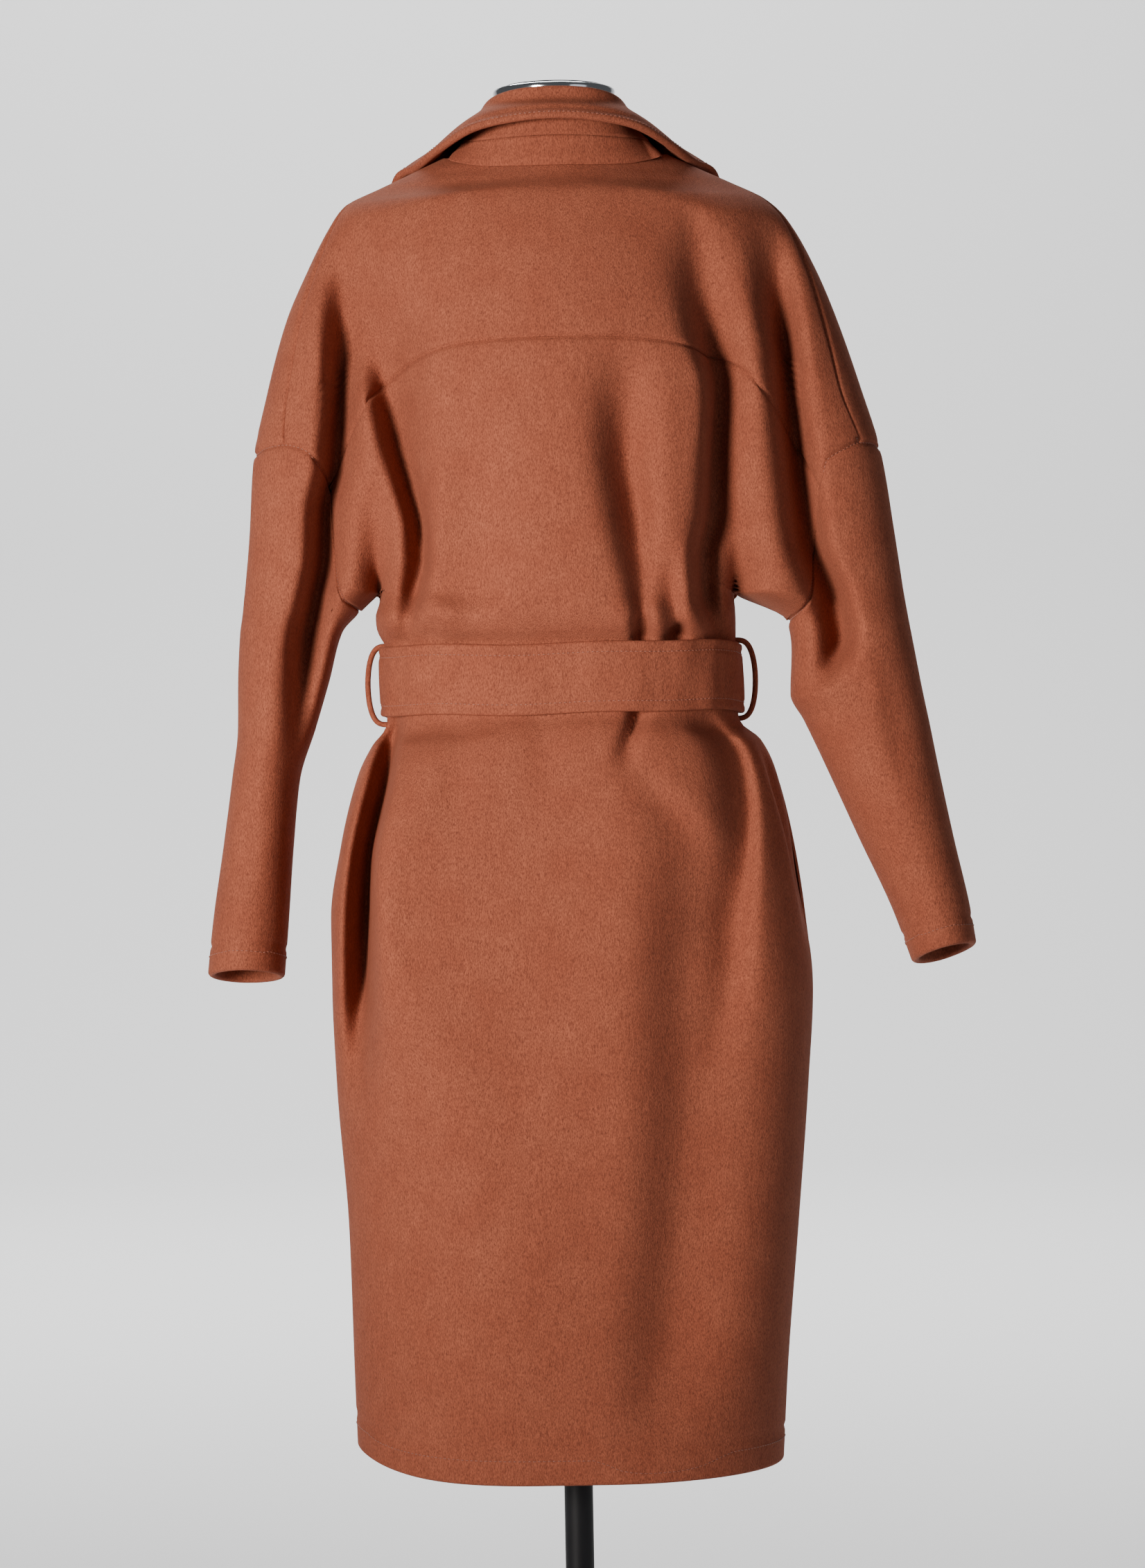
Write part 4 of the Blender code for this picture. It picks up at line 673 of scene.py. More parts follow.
def line_along(points, edge, distance):
    """The line on a grid that keeps that distance from one edge, interpolated on each grid line."""
    away = from_edge(points, edge)
    if edge in ("start", "finish"):
        away, points = away.T, points.swapaxes(0, 1)
    if edge in ("end", "finish"):
        away, points = away[::-1], points[::-1]
    i = np.clip(np.sum(away < distance, axis=0), 1, len(away) - 1)
    j = np.arange(points.shape[1])
    t = ((distance - away[i - 1, j]) / (away[i, j] - away[i - 1, j]))[:, None]
    return points[i - 1, j] * (1 - t) + points[i, j] * t


def turn_under(points, normal, closed_hem):
    """Adds rows to a grid's end: half a round of the hem's radius to the inside, then straight back up."""
    down = points[-1] - points[-2]
    down /= np.linalg.norm(down, axis=-1, keepdims=True)
    angle = np.linspace(0, np.pi, 10)[1:, None, None]
    half_round = points[-1] + HEM_ROUND * (down * np.sin(angle) - normal[-1] * (1 - np.cos(angle)))
    up = np.linspace(0, closed_hem, 7)[1:, None, None]
    return np.concatenate([points, half_round, half_round[-1] - down * up])


def cloth(name, points, outward, seams=(), dents=(), hem=0.0, closed=False, seam_depth=SEAM_DEPTH):
    """A shell of the cloth's thickness inside a grid of outer points.

    The edges named as seams roll in over the seam's width, each dent (edge, distance) sinks a stitched line,
    and a hem is turned under at the grid's end. Returns the piece and its finished outer points.
    """
    normal = grid_normals(points, closed, outward)
    sunk = np.zeros(points.shape[:2])
    for edge in seams:
        sunk += seam_depth * np.exp(-((from_edge(points, edge) / SEAM_ROLL) ** 2))
    for edge, distance in dents:
        sunk += STITCH_DENT * np.exp(-(((from_edge(points, edge) - distance) / STITCH_DENT_WIDTH) ** 2))
    shaped = points - normal * sunk[..., None]
    whole = turn_under(shaped, normal, hem) if hem else shaped
    faces = grid_faces(*whole.shape[:2], closed)
    a, b, c = (whole.reshape(-1, 3)[faces[:, i]] for i in range(3))
    facing = np.cross(b - a, c - a)
    kept = normal[:-1] if closed else normal[:-1, :-1]
    if np.sum(facing[: kept.reshape(-1, 3).shape[0]] * kept.reshape(-1, 3)) < 0:
        faces = faces[:, ::-1]
    made = add_piece(name, whole, faces, wool)
    thick = made.modifiers.new("cloth_thickness", "SOLIDIFY")
    thick.thickness = CLOTH
    thick.offset = -1.0
    thick.thickness_clamp = 1.5
    return made, shaped


def draped(x, z, toward, lift=0.0, closed=False):
    """Points of the sheets at given places, moved along their normals by the creases and by a lift.

    toward is 1 on the back sheet and -1 on the front. Also returns the rough way out at each place.
    """
    toward = np.broadcast_to(toward, x.shape)
    points = np.stack([x, np.where(toward > 0, sheet_y("back", x, z), sheet_y("front", x, z)), z], axis=-1)
    outward = np.stack([np.zeros_like(x), toward, np.zeros_like(x)], axis=-1)
    raised = lift - crease_depth(toward, x, z)
    return points + grid_normals(points, closed, outward) * raised[..., None], outward


# Melton wool: felted and brushed, so that a short nap of fine fibres covers the weave. It gives a soft matt
# face with faint flecks and tufts, and a sheen at glancing angles.
wool, tree, shader = new_finish(
    "melton_wool_felted_rust", Roughness=0.92, Sheen_Weight=0.10, Sheen_Roughness=0.40, Specular_IOR_Level=0.2
)
shader.inputs["Sheen Tint"].default_value = linear(RUST_SHEEN)
place = node(tree, "ShaderNodeTexCoord")
laid = node(tree, "ShaderNodeMapping", {}, {"Scale": (1.0, 1.0, 0.35)}, {"Vector": (place, "Object")})
fibre = noise(tree, (laid, 0), FIBRE, Detail=2.0, Roughness=0.6)
tuft = noise(tree, (laid, 0), FELTED_TUFT, Detail=3.0, Roughness=0.65)
mottle = noise(tree, (place, "Object"), MOTTLE, Detail=3.0)
fleck = node(tree, "ShaderNodeMapRange", {}, {"From Min": 0.26, "From Max": 0.66}, {"Value": (fibre, "Fac")})
patch = node(
    tree, "ShaderNodeMapRange", {}, {"From Min": 0.3, "From Max": 0.7, "To Max": 0.7},
    {"Value": (mottle, "Fac")},
)
ground = colour_between(tree, RUST, RUST_LIGHT, (patch, 0))
tufted = node(
    tree, "ShaderNodeMix", {"data_type": "RGBA", "blend_type": "OVERLAY"}, {0: 0.20},
    {6: (ground, 2), 7: (tuft, "Fac")},
)
shaded = node(
    tree, "ShaderNodeMix", {"data_type": "RGBA"}, {6: linear(RUST_DARK)}, {0: (fleck, 0), 7: (tufted, 2)}
)
nap = node(
    tree, "ShaderNodeMath", {"operation": "MULTIPLY_ADD"}, {1: 1.6}, {0: (tuft, "Fac"), 2: (fibre, "Fac")}
)
finish_surface(tree, shader, shaded, (nap, 0), 0.55, 0.0006)

BACK_SEAM_STEPS = (5, 5.6, 6.3, 7, 7.5, 8, 9)
BACK_MIDDLE = (1.274, 1.250, 1.224, 1.196, 1.172, 1.150, 1.126, 1.103, 1.082)
SIDE_ROWS = (
    1.054, 1.042, 1.029, 1.012, 0.985, 0.960, 0.945, 0.915, 0.870, 0.815, 0.740, 0.640, 0.530, 0.430, 0.342,
)
BACK_ROUNDED = (0.0, 0.0, 0.05, 0.1, 0.25, 0.5, 0.8) + (1.0,) * 17
EDGE_CROWDING = 1.35
BACK_COLUMNS = 171
ROW_SPACING = 0.0042
EDGE_ROW_SHARE = 0.6
BACK_SEAM_END = 6
BACK_ARMPIT_ROW = 8
SEAM_ROWS_AT = (0.0006, 0.0013, 0.0021, 0.0032)


def seam_at(name, step):
    """Place on a sleeve seam at a fractional row of its table, out from the middle of the coat."""
    rows = sides[name]["seam"]
    return tuple(smooth_through(np.arange(len(rows)), rows[:, axis])(step) for axis in (0, 1))


def armpit_at(name, share):
    """Place on the underside between the end of the sleeve seam and the top of the armpit."""
    side = sides[name]
    z = side["seam"][-1][1] + (side["pit_z"] - side["seam"][-1][1]) * np.clip(share, 0, 1)
    return side["sleeve"]["inner"](z), z


def side_at(name, row):
    """Place down a side seam at a fractional row, 0 at the armpit, on the trunk's outline."""
    side = sides[name]
    heights = (side["pit_z"],) + SIDE_ROWS[:-1] + (HEM_SIDE_Z[name] + HEM_ROUND,)
    z = np.interp(row, np.arange(len(heights)), heights)
    step_in = side["pit_x"] - trunk_at[name](side["pit_z"])
    return trunk_at[name](z) + step_in * np.clip(1 - row / 0.5, 0, 1), z


def back_edge(name, row):
    """Edge of the back panel at a fractional row: sleeve seam, then underarm, then side seam."""
    on_seam = seam_at(name, np.interp(row, np.arange(len(BACK_SEAM_STEPS)), BACK_SEAM_STEPS))
    under = armpit_at(name, (row - BACK_SEAM_END) / (BACK_ARMPIT_ROW - BACK_SEAM_END))
    side = side_at(name, row - BACK_ARMPIT_ROW)
    return tuple(
        np.where(row <= BACK_SEAM_END, a, np.where(row <= BACK_ARMPIT_ROW, b, c))
        for a, b, c in zip(on_seam, under, side)
    )


def fine_rows(lengths, spacing, crowd_start=True, crowd_end=False):
    """Fractional row numbers that split each row's length into even steps, with extra rows beside seams."""
    counts = np.maximum(np.rint(np.array(lengths) / spacing), 1).astype(int)
    numbers = np.append(np.concatenate([i + np.arange(n) / n for i, n in enumerate(counts)]), len(lengths))
    beside = np.array(SEAM_ROWS_AT)
    if crowd_start:
        numbers = np.append(numbers, beside / lengths[0])
    if crowd_end:
        numbers = np.append(numbers, len(lengths) - beside / lengths[-1])
    return np.unique(numbers)


def rise(share):
    """How a row climbs from a panel's middle to its edge: a tenth as the square, the rest as fifth power."""
    return 0.1 * share**2 + 0.9 * share**5


def across_back(left, right, middle_z, rounded, columns):
    """Places of a back panel: each row runs from its left edge over the middle height to its right edge.

    The steps across are crowded towards the edges, by a power or by a sine where the row is rounded.
    """
    even_steps = np.linspace(1, -1, columns)
    share = np.sign(even_steps) * (1 - (1 - np.abs(even_steps)) ** EDGE_CROWDING)
    along = np.abs(share)[None, :]
    even = along * (1 - rounded[:, None]) + np.sin(along * np.pi / 2) * rounded[:, None]
    edge_x, edge_z = (np.where(share >= 0, a[:, None], b[:, None]) for a, b in zip(left, right))
    return np.sign(share) * edge_x * even, middle_z[:, None] + (edge_z - middle_z[:, None]) * rise(even)


STITCH_LENGTH = 0.0030
STITCH_PITCH = 0.0040
THREAD_RADIUS = 0.0005
THREAD_SIDES = 5
STITCH_RINGS = (-1.0, -0.6, 0.6, 1.0)
STITCH_TAPER = 0.6
STITCH_BOW = 0.55


def stitches(name, line):
    """A row of thread stitches along a line of points and normals: tapered rods that bow up and dip in."""
    reach = np.append(0, np.cumsum(np.linalg.norm(np.diff(line[:, :3], axis=0), axis=1)))
    middle = np.arange(STITCH_PITCH / 2, reach[-1] - STITCH_PITCH / 2, STITCH_PITCH)
    here, ahead, behind = (
        np.stack([np.interp(middle + off, reach, line[:, i]) for i in range(6)], axis=-1)
        for off in (0.0, STITCH_LENGTH / 2, -STITCH_LENGTH / 2)
    )
    way = ahead[:, :3] - behind[:, :3]
    way /= np.linalg.norm(way, axis=1, keepdims=True)
    up = here[:, 3:] / np.linalg.norm(here[:, 3:], axis=1, keepdims=True)
    aside = np.cross(way, up)
    u = np.array(STITCH_RINGS)[None, :, None, None]
    v = np.linspace(0, 2 * np.pi, THREAD_SIDES, endpoint=False)[None, None, :, None]
    width = THREAD_RADIUS * (1 - STITCH_TAPER * np.abs(u) ** 3)
    bow = THREAD_RADIUS * STITCH_BOW * (1 - 2 * u**4)
    way, up, aside, centre = (value[:, None, None, :] for value in (way, up, aside, here[:, :3]))
    points = centre + way * u * STITCH_LENGTH / 2 + aside * np.cos(v) * width + up * (np.sin(v) * width + bow)
    rods, rings, round_by = points.shape[:3]
    one = grid_faces(rings, round_by, True)
    start = np.arange(rods)[:, None] * rings * round_by
    walls = (one[None] + start[:, :, None]).reshape(-1, 4)
    near_caps = start + np.arange(round_by)[::-1]
    far_caps = start + (rings - 1) * round_by + np.arange(round_by)
    faces = walls.tolist() + near_caps.tolist() + far_caps.tolist()
    return close_up(add_piece(name, points, faces, thread_finish), 60)


def with_normals(points, outward, closed=False):
    """A grid's points with their unit normals beside them, as stitches need them."""
    return np.concatenate([points, grid_normals(points, closed, outward)], axis=-1)


# Polyester sewing thread in a rust a shade darker than the wool, twisted, so that it has a soft lustre.
thread_finish, tree, shader = new_finish("polyester_thread_rust", Roughness=0.55, Sheen_Weight=0.1)
THREAD_DARK = "#7A412E"
THREAD_LIGHT = "#93533C"
THREAD_TWIST = 0.0006
place = node(tree, "ShaderNodeTexCoord")
twist = noise(tree, (place, "Object"), THREAD_TWIST)
tint = colour_between(tree, THREAD_DARK, THREAD_LIGHT, (twist, "Fac"))
tree.links.new(tint.outputs[2], shader.inputs["Base Color"])

back_middle_rows = BACK_MIDDLE + SIDE_ROWS[:-1] + (SIDE_ROWS[-1] + HEM_ROUND,)
whole_rows = np.arange(len(back_middle_rows), dtype=float)
left_steps = np.hypot(*np.diff(np.array(back_edge("left", whole_rows)), axis=1))
rows = fine_rows(np.maximum(-np.diff(back_middle_rows), EDGE_ROW_SHARE * left_steps), ROW_SPACING)
x, z = across_back(
    back_edge("left", rows), back_edge("right", rows),
    np.interp(rows, whole_rows, back_middle_rows), np.interp(rows, whole_rows, BACK_ROUNDED), BACK_COLUMNS,
)
points, outward = draped(x, z, 1)
back_panel, points = cloth(
    "coat_back", points, outward, ("top", "start", "finish"), (("end", HEM_STITCH),), HEM_TURN_UP
)
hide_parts("back_panel")
surface = with_normals(points, outward)
hem_back = stitches("stitching_hem_back", line_along(surface, "end", HEM_STITCH))
beside_sleeve = surface[rows <= BACK_SEAM_END]
topstitch = [
    stitches("stitching_sleeve_seam_back_" + name, line_along(beside_sleeve, edge, SLEEVE_TOPSTITCH))
    for name, edge in (("left", "start"), ("right", "finish"))
]

# The yoke: the upper back, from the neck seam over the shoulder blades to a seam that curves down to both
# sleeve seams. It is cut in one with the tops of the arms and pressed flat along its lower seam.
YOKE_ROWS = (
    (1.4247, 1.4370, 0.10), (1.4080, 1.4245, 0.10), (1.3920, 1.4080, 0.12), (1.3740, 1.3850, 0.18),
    (1.3560, 1.3500, 0.26), (1.3380, 1.3100, 0.33), (1.3200, 1.2650, 0.38), (1.3040, 1.2250, 0.41),
)
SHOULDER_SEAM_AT = 2
YOKE_MIDDLE = tuple(row[0] for row in YOKE_ROWS) + (1.293, 1.288, 1.284, 1.281, 1.2775, 1.274)
YOKE_SEAM_STEPS = (2, 3, 3.5, 4, 4.5, 5)
YOKE_COLUMNS = 271
YOKE_ROW_SPACING = 0.0030
YOKE_ROUNDED = (0.6,) * 8 + (0.5, 0.35, 0.2, 0.1, 0.05, 0.0)


def shoulder_at(name, row):
    """Place on the shoulder seam at a fractional row, from the neck to the sleeve seam.

    The seam lies round on the back from the arm's outline by an angle: its x is the outline's times a cosine.
    """
    seam_x, seam_z = seam_at(name, SHOULDER_SEAM_AT)
    last_angle = np.arccos(seam_x / upper_at[name](seam_z))
    numbers = np.arange(len(YOKE_ROWS) + 1)
    height = smooth_through(numbers, [edge for _, edge, _ in YOKE_ROWS] + [float(seam_z)])(row)
    angle = smooth_through(numbers, [round_by for _, _, round_by in YOKE_ROWS] + [float(last_angle)])(row)
    return upper_at[name](height) * np.cos(angle), height


def yoke_edge(name, row):
    """Edge of the yoke at a fractional row: shoulder seam, then sleeve seam."""
    last = len(YOKE_ROWS)
    on_seam = seam_at(name, np.interp(row, last + np.arange(len(YOKE_SEAM_STEPS)), YOKE_SEAM_STEPS))
    return tuple(np.where(row <= last, a, b) for a, b in zip(shoulder_at(name, row), on_seam))


whole_rows = np.arange(len(YOKE_MIDDLE), dtype=float)
left_steps = np.hypot(*np.diff(np.array(yoke_edge("left", whole_rows)), axis=1))
lengths = np.maximum(-np.diff(YOKE_MIDDLE), EDGE_ROW_SHARE * left_steps)
rows = fine_rows(lengths, YOKE_ROW_SPACING, True, True)
x, z = across_back(
    yoke_edge("left", rows), yoke_edge("right", rows), smooth_through(whole_rows, YOKE_MIDDLE)(rows),
    np.interp(rows, whole_rows, YOKE_ROUNDED), YOKE_COLUMNS,
)
points, outward = draped(x, z, 1)
yoke, points = cloth("coat_yoke", points, outward, ("top", "end", "start", "finish"))
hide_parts("back_yoke")
beside_sleeve = with_normals(points, outward)[rows >= len(YOKE_ROWS)]
topstitch = [
    stitches("stitching_sleeve_seam_yoke_" + name, line_along(beside_sleeve, edge, SLEEVE_TOPSTITCH))
    for name, edge in (("left", "start"), ("right", "finish"))
]

# The two fronts: each runs from the shoulder seam over the arm and down to the hem, with its edge turned
# under. The right front laps over the left one, and both are held by the belt.
LEFT_FRONT_EDGE = -0.060
RIGHT_FRONT_EDGE = 0.085
WRAP_LIFT = 0.008
LAP_FROM = -0.115
LAP_EASE = 0.045
LAP_TOP = 1.40
LAP_TOP_EASE = 0.08
NECK_EDGE_X = 0.076
FRONT_EDGE_SHARES = (0.0, 0.09, 0.19, 0.29, 0.38, 0.47, 0.55, 0.63, 0.70, 0.77, 0.83, 0.88, 0.93, 0.97, 1.0)
FRONT_EDGE_Z = (
    1.430, 1.411, 1.390, 1.369, 1.350, 1.332, 1.315, 1.299, 1.284, 1.270, 1.257, 1.245, 1.233,
    1.222, 1.212, 1.202, 1.192, 1.182, 1.171, 1.160, 1.149, 1.138, 1.126, 1.113, 1.099, 1.084,
)
FRONT_SEAM_STEPS = (1, 2, 3, 3.5, 4, 4.5, 5, 5.6, 6.3, 7, 7.5, 8, 9)
FRONT_COLUMNS = 111
FRONT_EDGE_COLUMNS = (0.003, 0.006, 0.994, 0.997)
FRONT_ROW_SPACING = 0.0052
FRONT_EDGE_ROW_SHARE = 0.7
FRONT_EDGE_STITCH = 0.008
SHOULDER_END = len(YOKE_ROWS)
OVER_ARM_END = 10
FRONT_SEAM_START = 11
FRONT_SEAM_END = 23
ARMPIT_ROW = 25


def front_start(name, row):
    """Start edge of a front at a fractional row: shoulder, over the arm, sleeve seam, underarm, then side."""
    over_arm = seam_at(name, np.clip(OVER_ARM_END - row, 0, 2))
    turned_front = seam_at(name, np.clip(row - OVER_ARM_END, 0, 1))
    steps = np.interp(row, FRONT_SEAM_START + np.arange(len(FRONT_SEAM_STEPS)), FRONT_SEAM_STEPS)
    pieces = (
        (row <= SHOULDER_END, shoulder_at(name, row)),
        (row <= OVER_ARM_END, over_arm),
        (row <= FRONT_SEAM_START, turned_front),
        (row <= FRONT_SEAM_END, seam_at(name, steps)),
        (row <= ARMPIT_ROW, armpit_at(name, (row - FRONT_SEAM_END) / (ARMPIT_ROW - FRONT_SEAM_END))),
    )
    last = side_at(name, row - ARMPIT_ROW)
    within = [here for here, _ in pieces]
    return tuple(np.select(within, [place[axis] for _, place in pieces], last[axis]) for axis in (0, 1))


def front_places(name, edge, row):
    """Places of a front panel: rows run from its start edge round to the front edge.

    Over the arm and round the trunk the steps follow a cosine, and beside the sleeve seam they are even.
    """
    start_x, start_z = (value[:, None] for value in front_start(name, row))
    numbers = np.arange(len(FRONT_EDGE_Z) + len(SIDE_ROWS), dtype=float)
    edge_z = FRONT_EDGE_Z + SIDE_ROWS[:-1] + (SIDE_ROWS[-1] + HEM_ROUND,)
    shares = FRONT_EDGE_SHARES + (1.0,) * (len(numbers) - len(FRONT_EDGE_SHARES))
    end_x = (NECK_EDGE_X + (edge - NECK_EDGE_X) * smooth_through(numbers, shares)(row))[:, None]
    end_z = np.interp(row, numbers, edge_z)[:, None]
    along = np.unique(np.append(np.linspace(0, 1, FRONT_COLUMNS), FRONT_EDGE_COLUMNS))[None, :]
    z = end_z + (start_z - end_z) * rise(1 - along)
    width = upper_at[name](z)
    on_back = np.where(row <= OVER_ARM_END, 1, -1)[:, None]
    first = on_back * np.arccos(np.clip(start_x / width[:, :1], -1, 1))
    last = -np.arccos(np.clip(end_x / width[:, -1:], -1, 1))
    angle = first + (last - first) * along
    over = width * np.cos(angle)
    beside = start_x + (end_x - start_x) * along
    side_x = start_x + trunk_at[name](z) - trunk_at[name](start_z)
    under = side_x * np.cos(np.arccos(np.clip(end_x / side_x, -1, 1)) * along)
    to_beside = ease(row - OVER_ARM_END)[:, None]
    to_under = ease(row - FRONT_SEAM_END + 1)[:, None]
    x = over * (1 - to_beside) + (beside * (1 - to_under) + under * to_under) * to_beside
    toward = np.where((angle > 0) & (row <= OVER_ARM_END)[:, None], 1, -1)
    return x * sides[name]["sign"], z, toward


def lap_lift(x, z, toward):
    """How far the right front stands off where it laps over the left: eased in from its side and the neck."""
    lift = WRAP_LIFT * ease((x - LAP_FROM) / LAP_EASE) * ease((LAP_TOP - z) / LAP_TOP_EASE)
    return np.where(toward < 0, lift, 0.0)


for name, edge in (("left", LEFT_FRONT_EDGE), ("right", -RIGHT_FRONT_EDGE)):
    whole_rows = np.arange(len(FRONT_EDGE_Z) + len(SIDE_ROWS), dtype=float)
    steps = np.hypot(*np.diff(np.array(front_start(name, whole_rows)), axis=1))
    lengths = np.maximum(-np.diff(FRONT_EDGE_Z + SIDE_ROWS), FRONT_EDGE_ROW_SHARE * steps)
    rows = fine_rows(lengths, FRONT_ROW_SPACING)
    x, z, toward = front_places(name, edge, rows)
    points, outward = draped(x, z, toward, lap_lift(x, z, toward) if name == "right" else 0.0)
    stitched = (("end", HEM_STITCH), ("finish", FRONT_EDGE_STITCH))
    front, points = cloth("coat_front_" + name, points, outward, ("start",), stitched, HEM_TURN_UP)
    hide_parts("front_" + name)
    surface = with_normals(points, outward)
    beside_sleeve = surface[(rows >= SHOULDER_END) & (rows <= FRONT_SEAM_END)]
    sewn = [
        stitches("stitching_hem_front_" + name, line_along(surface, "end", HEM_STITCH)),
        stitches("stitching_edge_front_" + name, line_along(surface, "finish", FRONT_EDGE_STITCH)),
        stitches("stitching_sleeve_seam_front_" + name, line_along(beside_sleeve, "start", SLEEVE_TOPSTITCH)),
    ]

# The sleeves: tapered tubes of the same wool, set on below the elbow of the batwing arm by the low sleeve
# seam and finished by a cuff that is turned in and stitched.
CUFFS = {"left": (0.754, 0.752), "right": (0.769, 0.755)}
CUFF_TILT = 0.007
CUFF_STITCH = 0.021
CUFF_TURN_IN = 0.027
SEAM_STEPS = (0, 1, 2, 3, 3.5, 4, 4.5, 5, 5.6, 6.3, 7, 7.5, 8, 9)
SLEEVE_ROWS = 124
SLEEVE_HALF_COLUMNS = 72
SLEEVE_LENGTH = 0.4
SLEEVE_SETTLES = 1.6


def sleeve_places(name):
    """Places of a sleeve: rows run round it by an angle between its outer and inner edges, seam to cuff."""
    side = sides[name]
    numbers = np.arange(len(SEAM_STEPS))
    half_way = np.linspace(0, numbers[-1], SLEEVE_HALF_COLUMNS)
    ring = np.concatenate([half_way, half_way[-2:0:-1]])
    facing = np.where(np.arange(len(ring)) < SLEEVE_HALF_COLUMNS, 1.0, -1.0)
    top_x, top_z = seam_at(name, np.interp(ring, numbers, SEAM_STEPS))

    def edges(z):
        """Outer and inner outline of the arm at a height; the inner one stays at the seam's end above it."""
        outer = np.where(z >= side["pit_z"], upper_at[name](z), side["sleeve"]["outer"](z))
        return outer, np.where(z >= side["seam"][-1][1], side["seam"][-1][0], side["sleeve"]["inner"](z))

    outer, inner = edges(top_z)
    top_angle = np.arccos(np.clip(2 * (top_x - inner) / (outer - inner) - 1, -1, 1))
    cuff_angle = ring * np.pi / numbers[-1]
    outer_z, inner_z = (height + HEM_ROUND for height in CUFFS[name])
    cuff_z = 0.5 * (outer_z + inner_z) + 0.5 * (outer_z - inner_z) * np.cos(cuff_angle)
    cuff_z = cuff_z + CUFF_TILT * np.sin(cuff_angle) * facing
    beside_seam = np.array(SEAM_ROWS_AT) / SLEEVE_LENGTH
    down = np.unique(np.append(np.linspace(0, 1, SLEEVE_ROWS), beside_seam))[:, None]
    z = top_z + (cuff_z - top_z) * down
    angle = top_angle + (cuff_angle - top_angle) * ease(down * SLEEVE_SETTLES)
    outer, inner = edges(z)
    x = (inner + (outer - inner) * (1 + np.cos(angle)) / 2) * side["sign"]
    return x, z, np.broadcast_to(facing, z.shape)


for name in ("left", "right"):
    x, z, toward = sleeve_places(name)
    points, outward = draped(x, z, toward, 0.0, True)
    sleeve, points = cloth(
        "coat_sleeve_" + name, points, outward, ("top",), (("end", CUFF_STITCH),), CUFF_TURN_IN, True
    )
    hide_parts("sleeve_" + name)
    cuff_line = line_along(with_normals(points, outward, True), "end", CUFF_STITCH)
    sewn = stitches("stitching_cuff_" + name, np.concatenate([cuff_line, cuff_line[:1]]))

# The collar: a stand sewn into the neck seam and a wide fall that rolls over it and runs on down both fronts
# as plain lapels. The fall is two layers turned out, with one row of stitching near its edge.
BACK_COLLAR = (
    (0.000, (0.000, 0.0660, 1.4810), (0.000, 0.0900, 1.4605)),
    (0.030, (0.027, 0.0620, 1.4798), (0.036, 0.0850, 1.4585)),
    (0.060, (0.046, 0.0450, 1.4758), (0.070, 0.0690, 1.4530)),
    (0.079, (0.054, 0.0200, 1.4710), (0.098, 0.0380, 1.4410)),
    (0.088, (0.057, -0.0040, 1.4670), (0.1185, 0.0000, 1.4310)),
)
FRONT_COLLAR = (
    (1.4280, -0.012, -0.006, 0.030, 0.131, 1.414),
    (1.4080, -0.009, -0.010, 0.022, 0.138, 1.384),
    (1.3840, -0.006, -0.012, 0.016, 0.137, 1.350),
    (1.3560, -0.004, -0.013, 0.010, 0.122, 1.316),
    (1.3300, -0.003, -0.013, 0.007, 0.096, 1.290),
)
NECK_LAP = 0.006
COLLAR_SEAM_DEPTH = 0.0006
NECK_OFF = 0.0050
BACK_NECK_OFF = 0.0012
COLLAR_CLEARANCE = 0.0008
STAND_OFF = 0.004
FALL_OFF = 0.011
COLLAR_FOLD = 0.004
COLLAR_BULGE = 0.002
ROLL_DROP = 0.12
ROLL_ROUND = ((0.35, 0.5), (1.0, 0.8), (1.65, 0.4))
STAND_ROWS_UP = (0.0, 0.20, 0.40)
FALL_ROWS_UP = (0.75, 0.92)
FRONT_OF_NECK_Y = -0.010
COLLAR_STEPS = (6, 12)
SLOPE_STEP = 0.0003
COLLAR_STITCH = 0.0055
COLLAR_TURN = 0.012


def on_sheet(x, z, toward, lift):
    """One place on a sheet, lifted off along its normal, which comes from the sheet's slopes there."""
    sheet, step = "back" if toward > 0 else "front", SLOPE_STEP
    slope_x = (sheet_y(sheet, x + step, z) - sheet_y(sheet, x - step, z)) / (2 * step)
    slope_z = (sheet_y(sheet, x, z + step) - sheet_y(sheet, x, z - step)) / (2 * step)
    normal = np.array([-float(slope_x), 1.0, -float(slope_z)]) * toward
    return np.array([x, float(sheet_y(sheet, x, z)), z]) + normal / np.linalg.norm(normal) * lift


def back_collar():
    """Neck seam, roll and outer edge of the collar at stations from the back's middle to the shoulder."""
    middle_z, edge_z, _ = YOKE_ROWS[0]
    edge_x = float(shoulder_at("left", 0.0)[0])
    necks = [
        on_sheet(neck_x, middle_z + (edge_z - middle_z) * rise(neck_x / edge_x) - NECK_LAP, 1, BACK_NECK_OFF)
        for neck_x, _, _ in BACK_COLLAR
    ]
    return np.array([[neck, roll, edge] for neck, (_, roll, edge) in zip(necks, BACK_COLLAR)])


def front_collar(name, edge):
    """The same down one front: the neck seam on the front's edge and the outer edge lying on the front."""
    sign = sides[name]["sign"]
    stations = []
    for neck_z, roll_x, roll_y, roll_z, edge_x, edge_z in FRONT_COLLAR:
        share = np.interp(-neck_z, -np.array(FRONT_EDGE_Z[: len(FRONT_EDGE_SHARES)]), FRONT_EDGE_SHARES)
        neck_x = NECK_EDGE_X + (edge - NECK_EDGE_X) * share + COLLAR_CLEARANCE
        x, z = np.array([neck_x, edge_x]) * sign, np.array([neck_z, edge_z])
        off = np.array([NECK_OFF, FALL_OFF]) + (lap_lift(x, z, -1) if name == "right" else 0.0)
        neck, outer = (on_sheet(x[i], z[i], -1, off[i]) for i in (0, 1))
        stations.append([neck, neck + np.array([roll_x * sign, roll_y, roll_z]), outer])
    return np.array(stations)


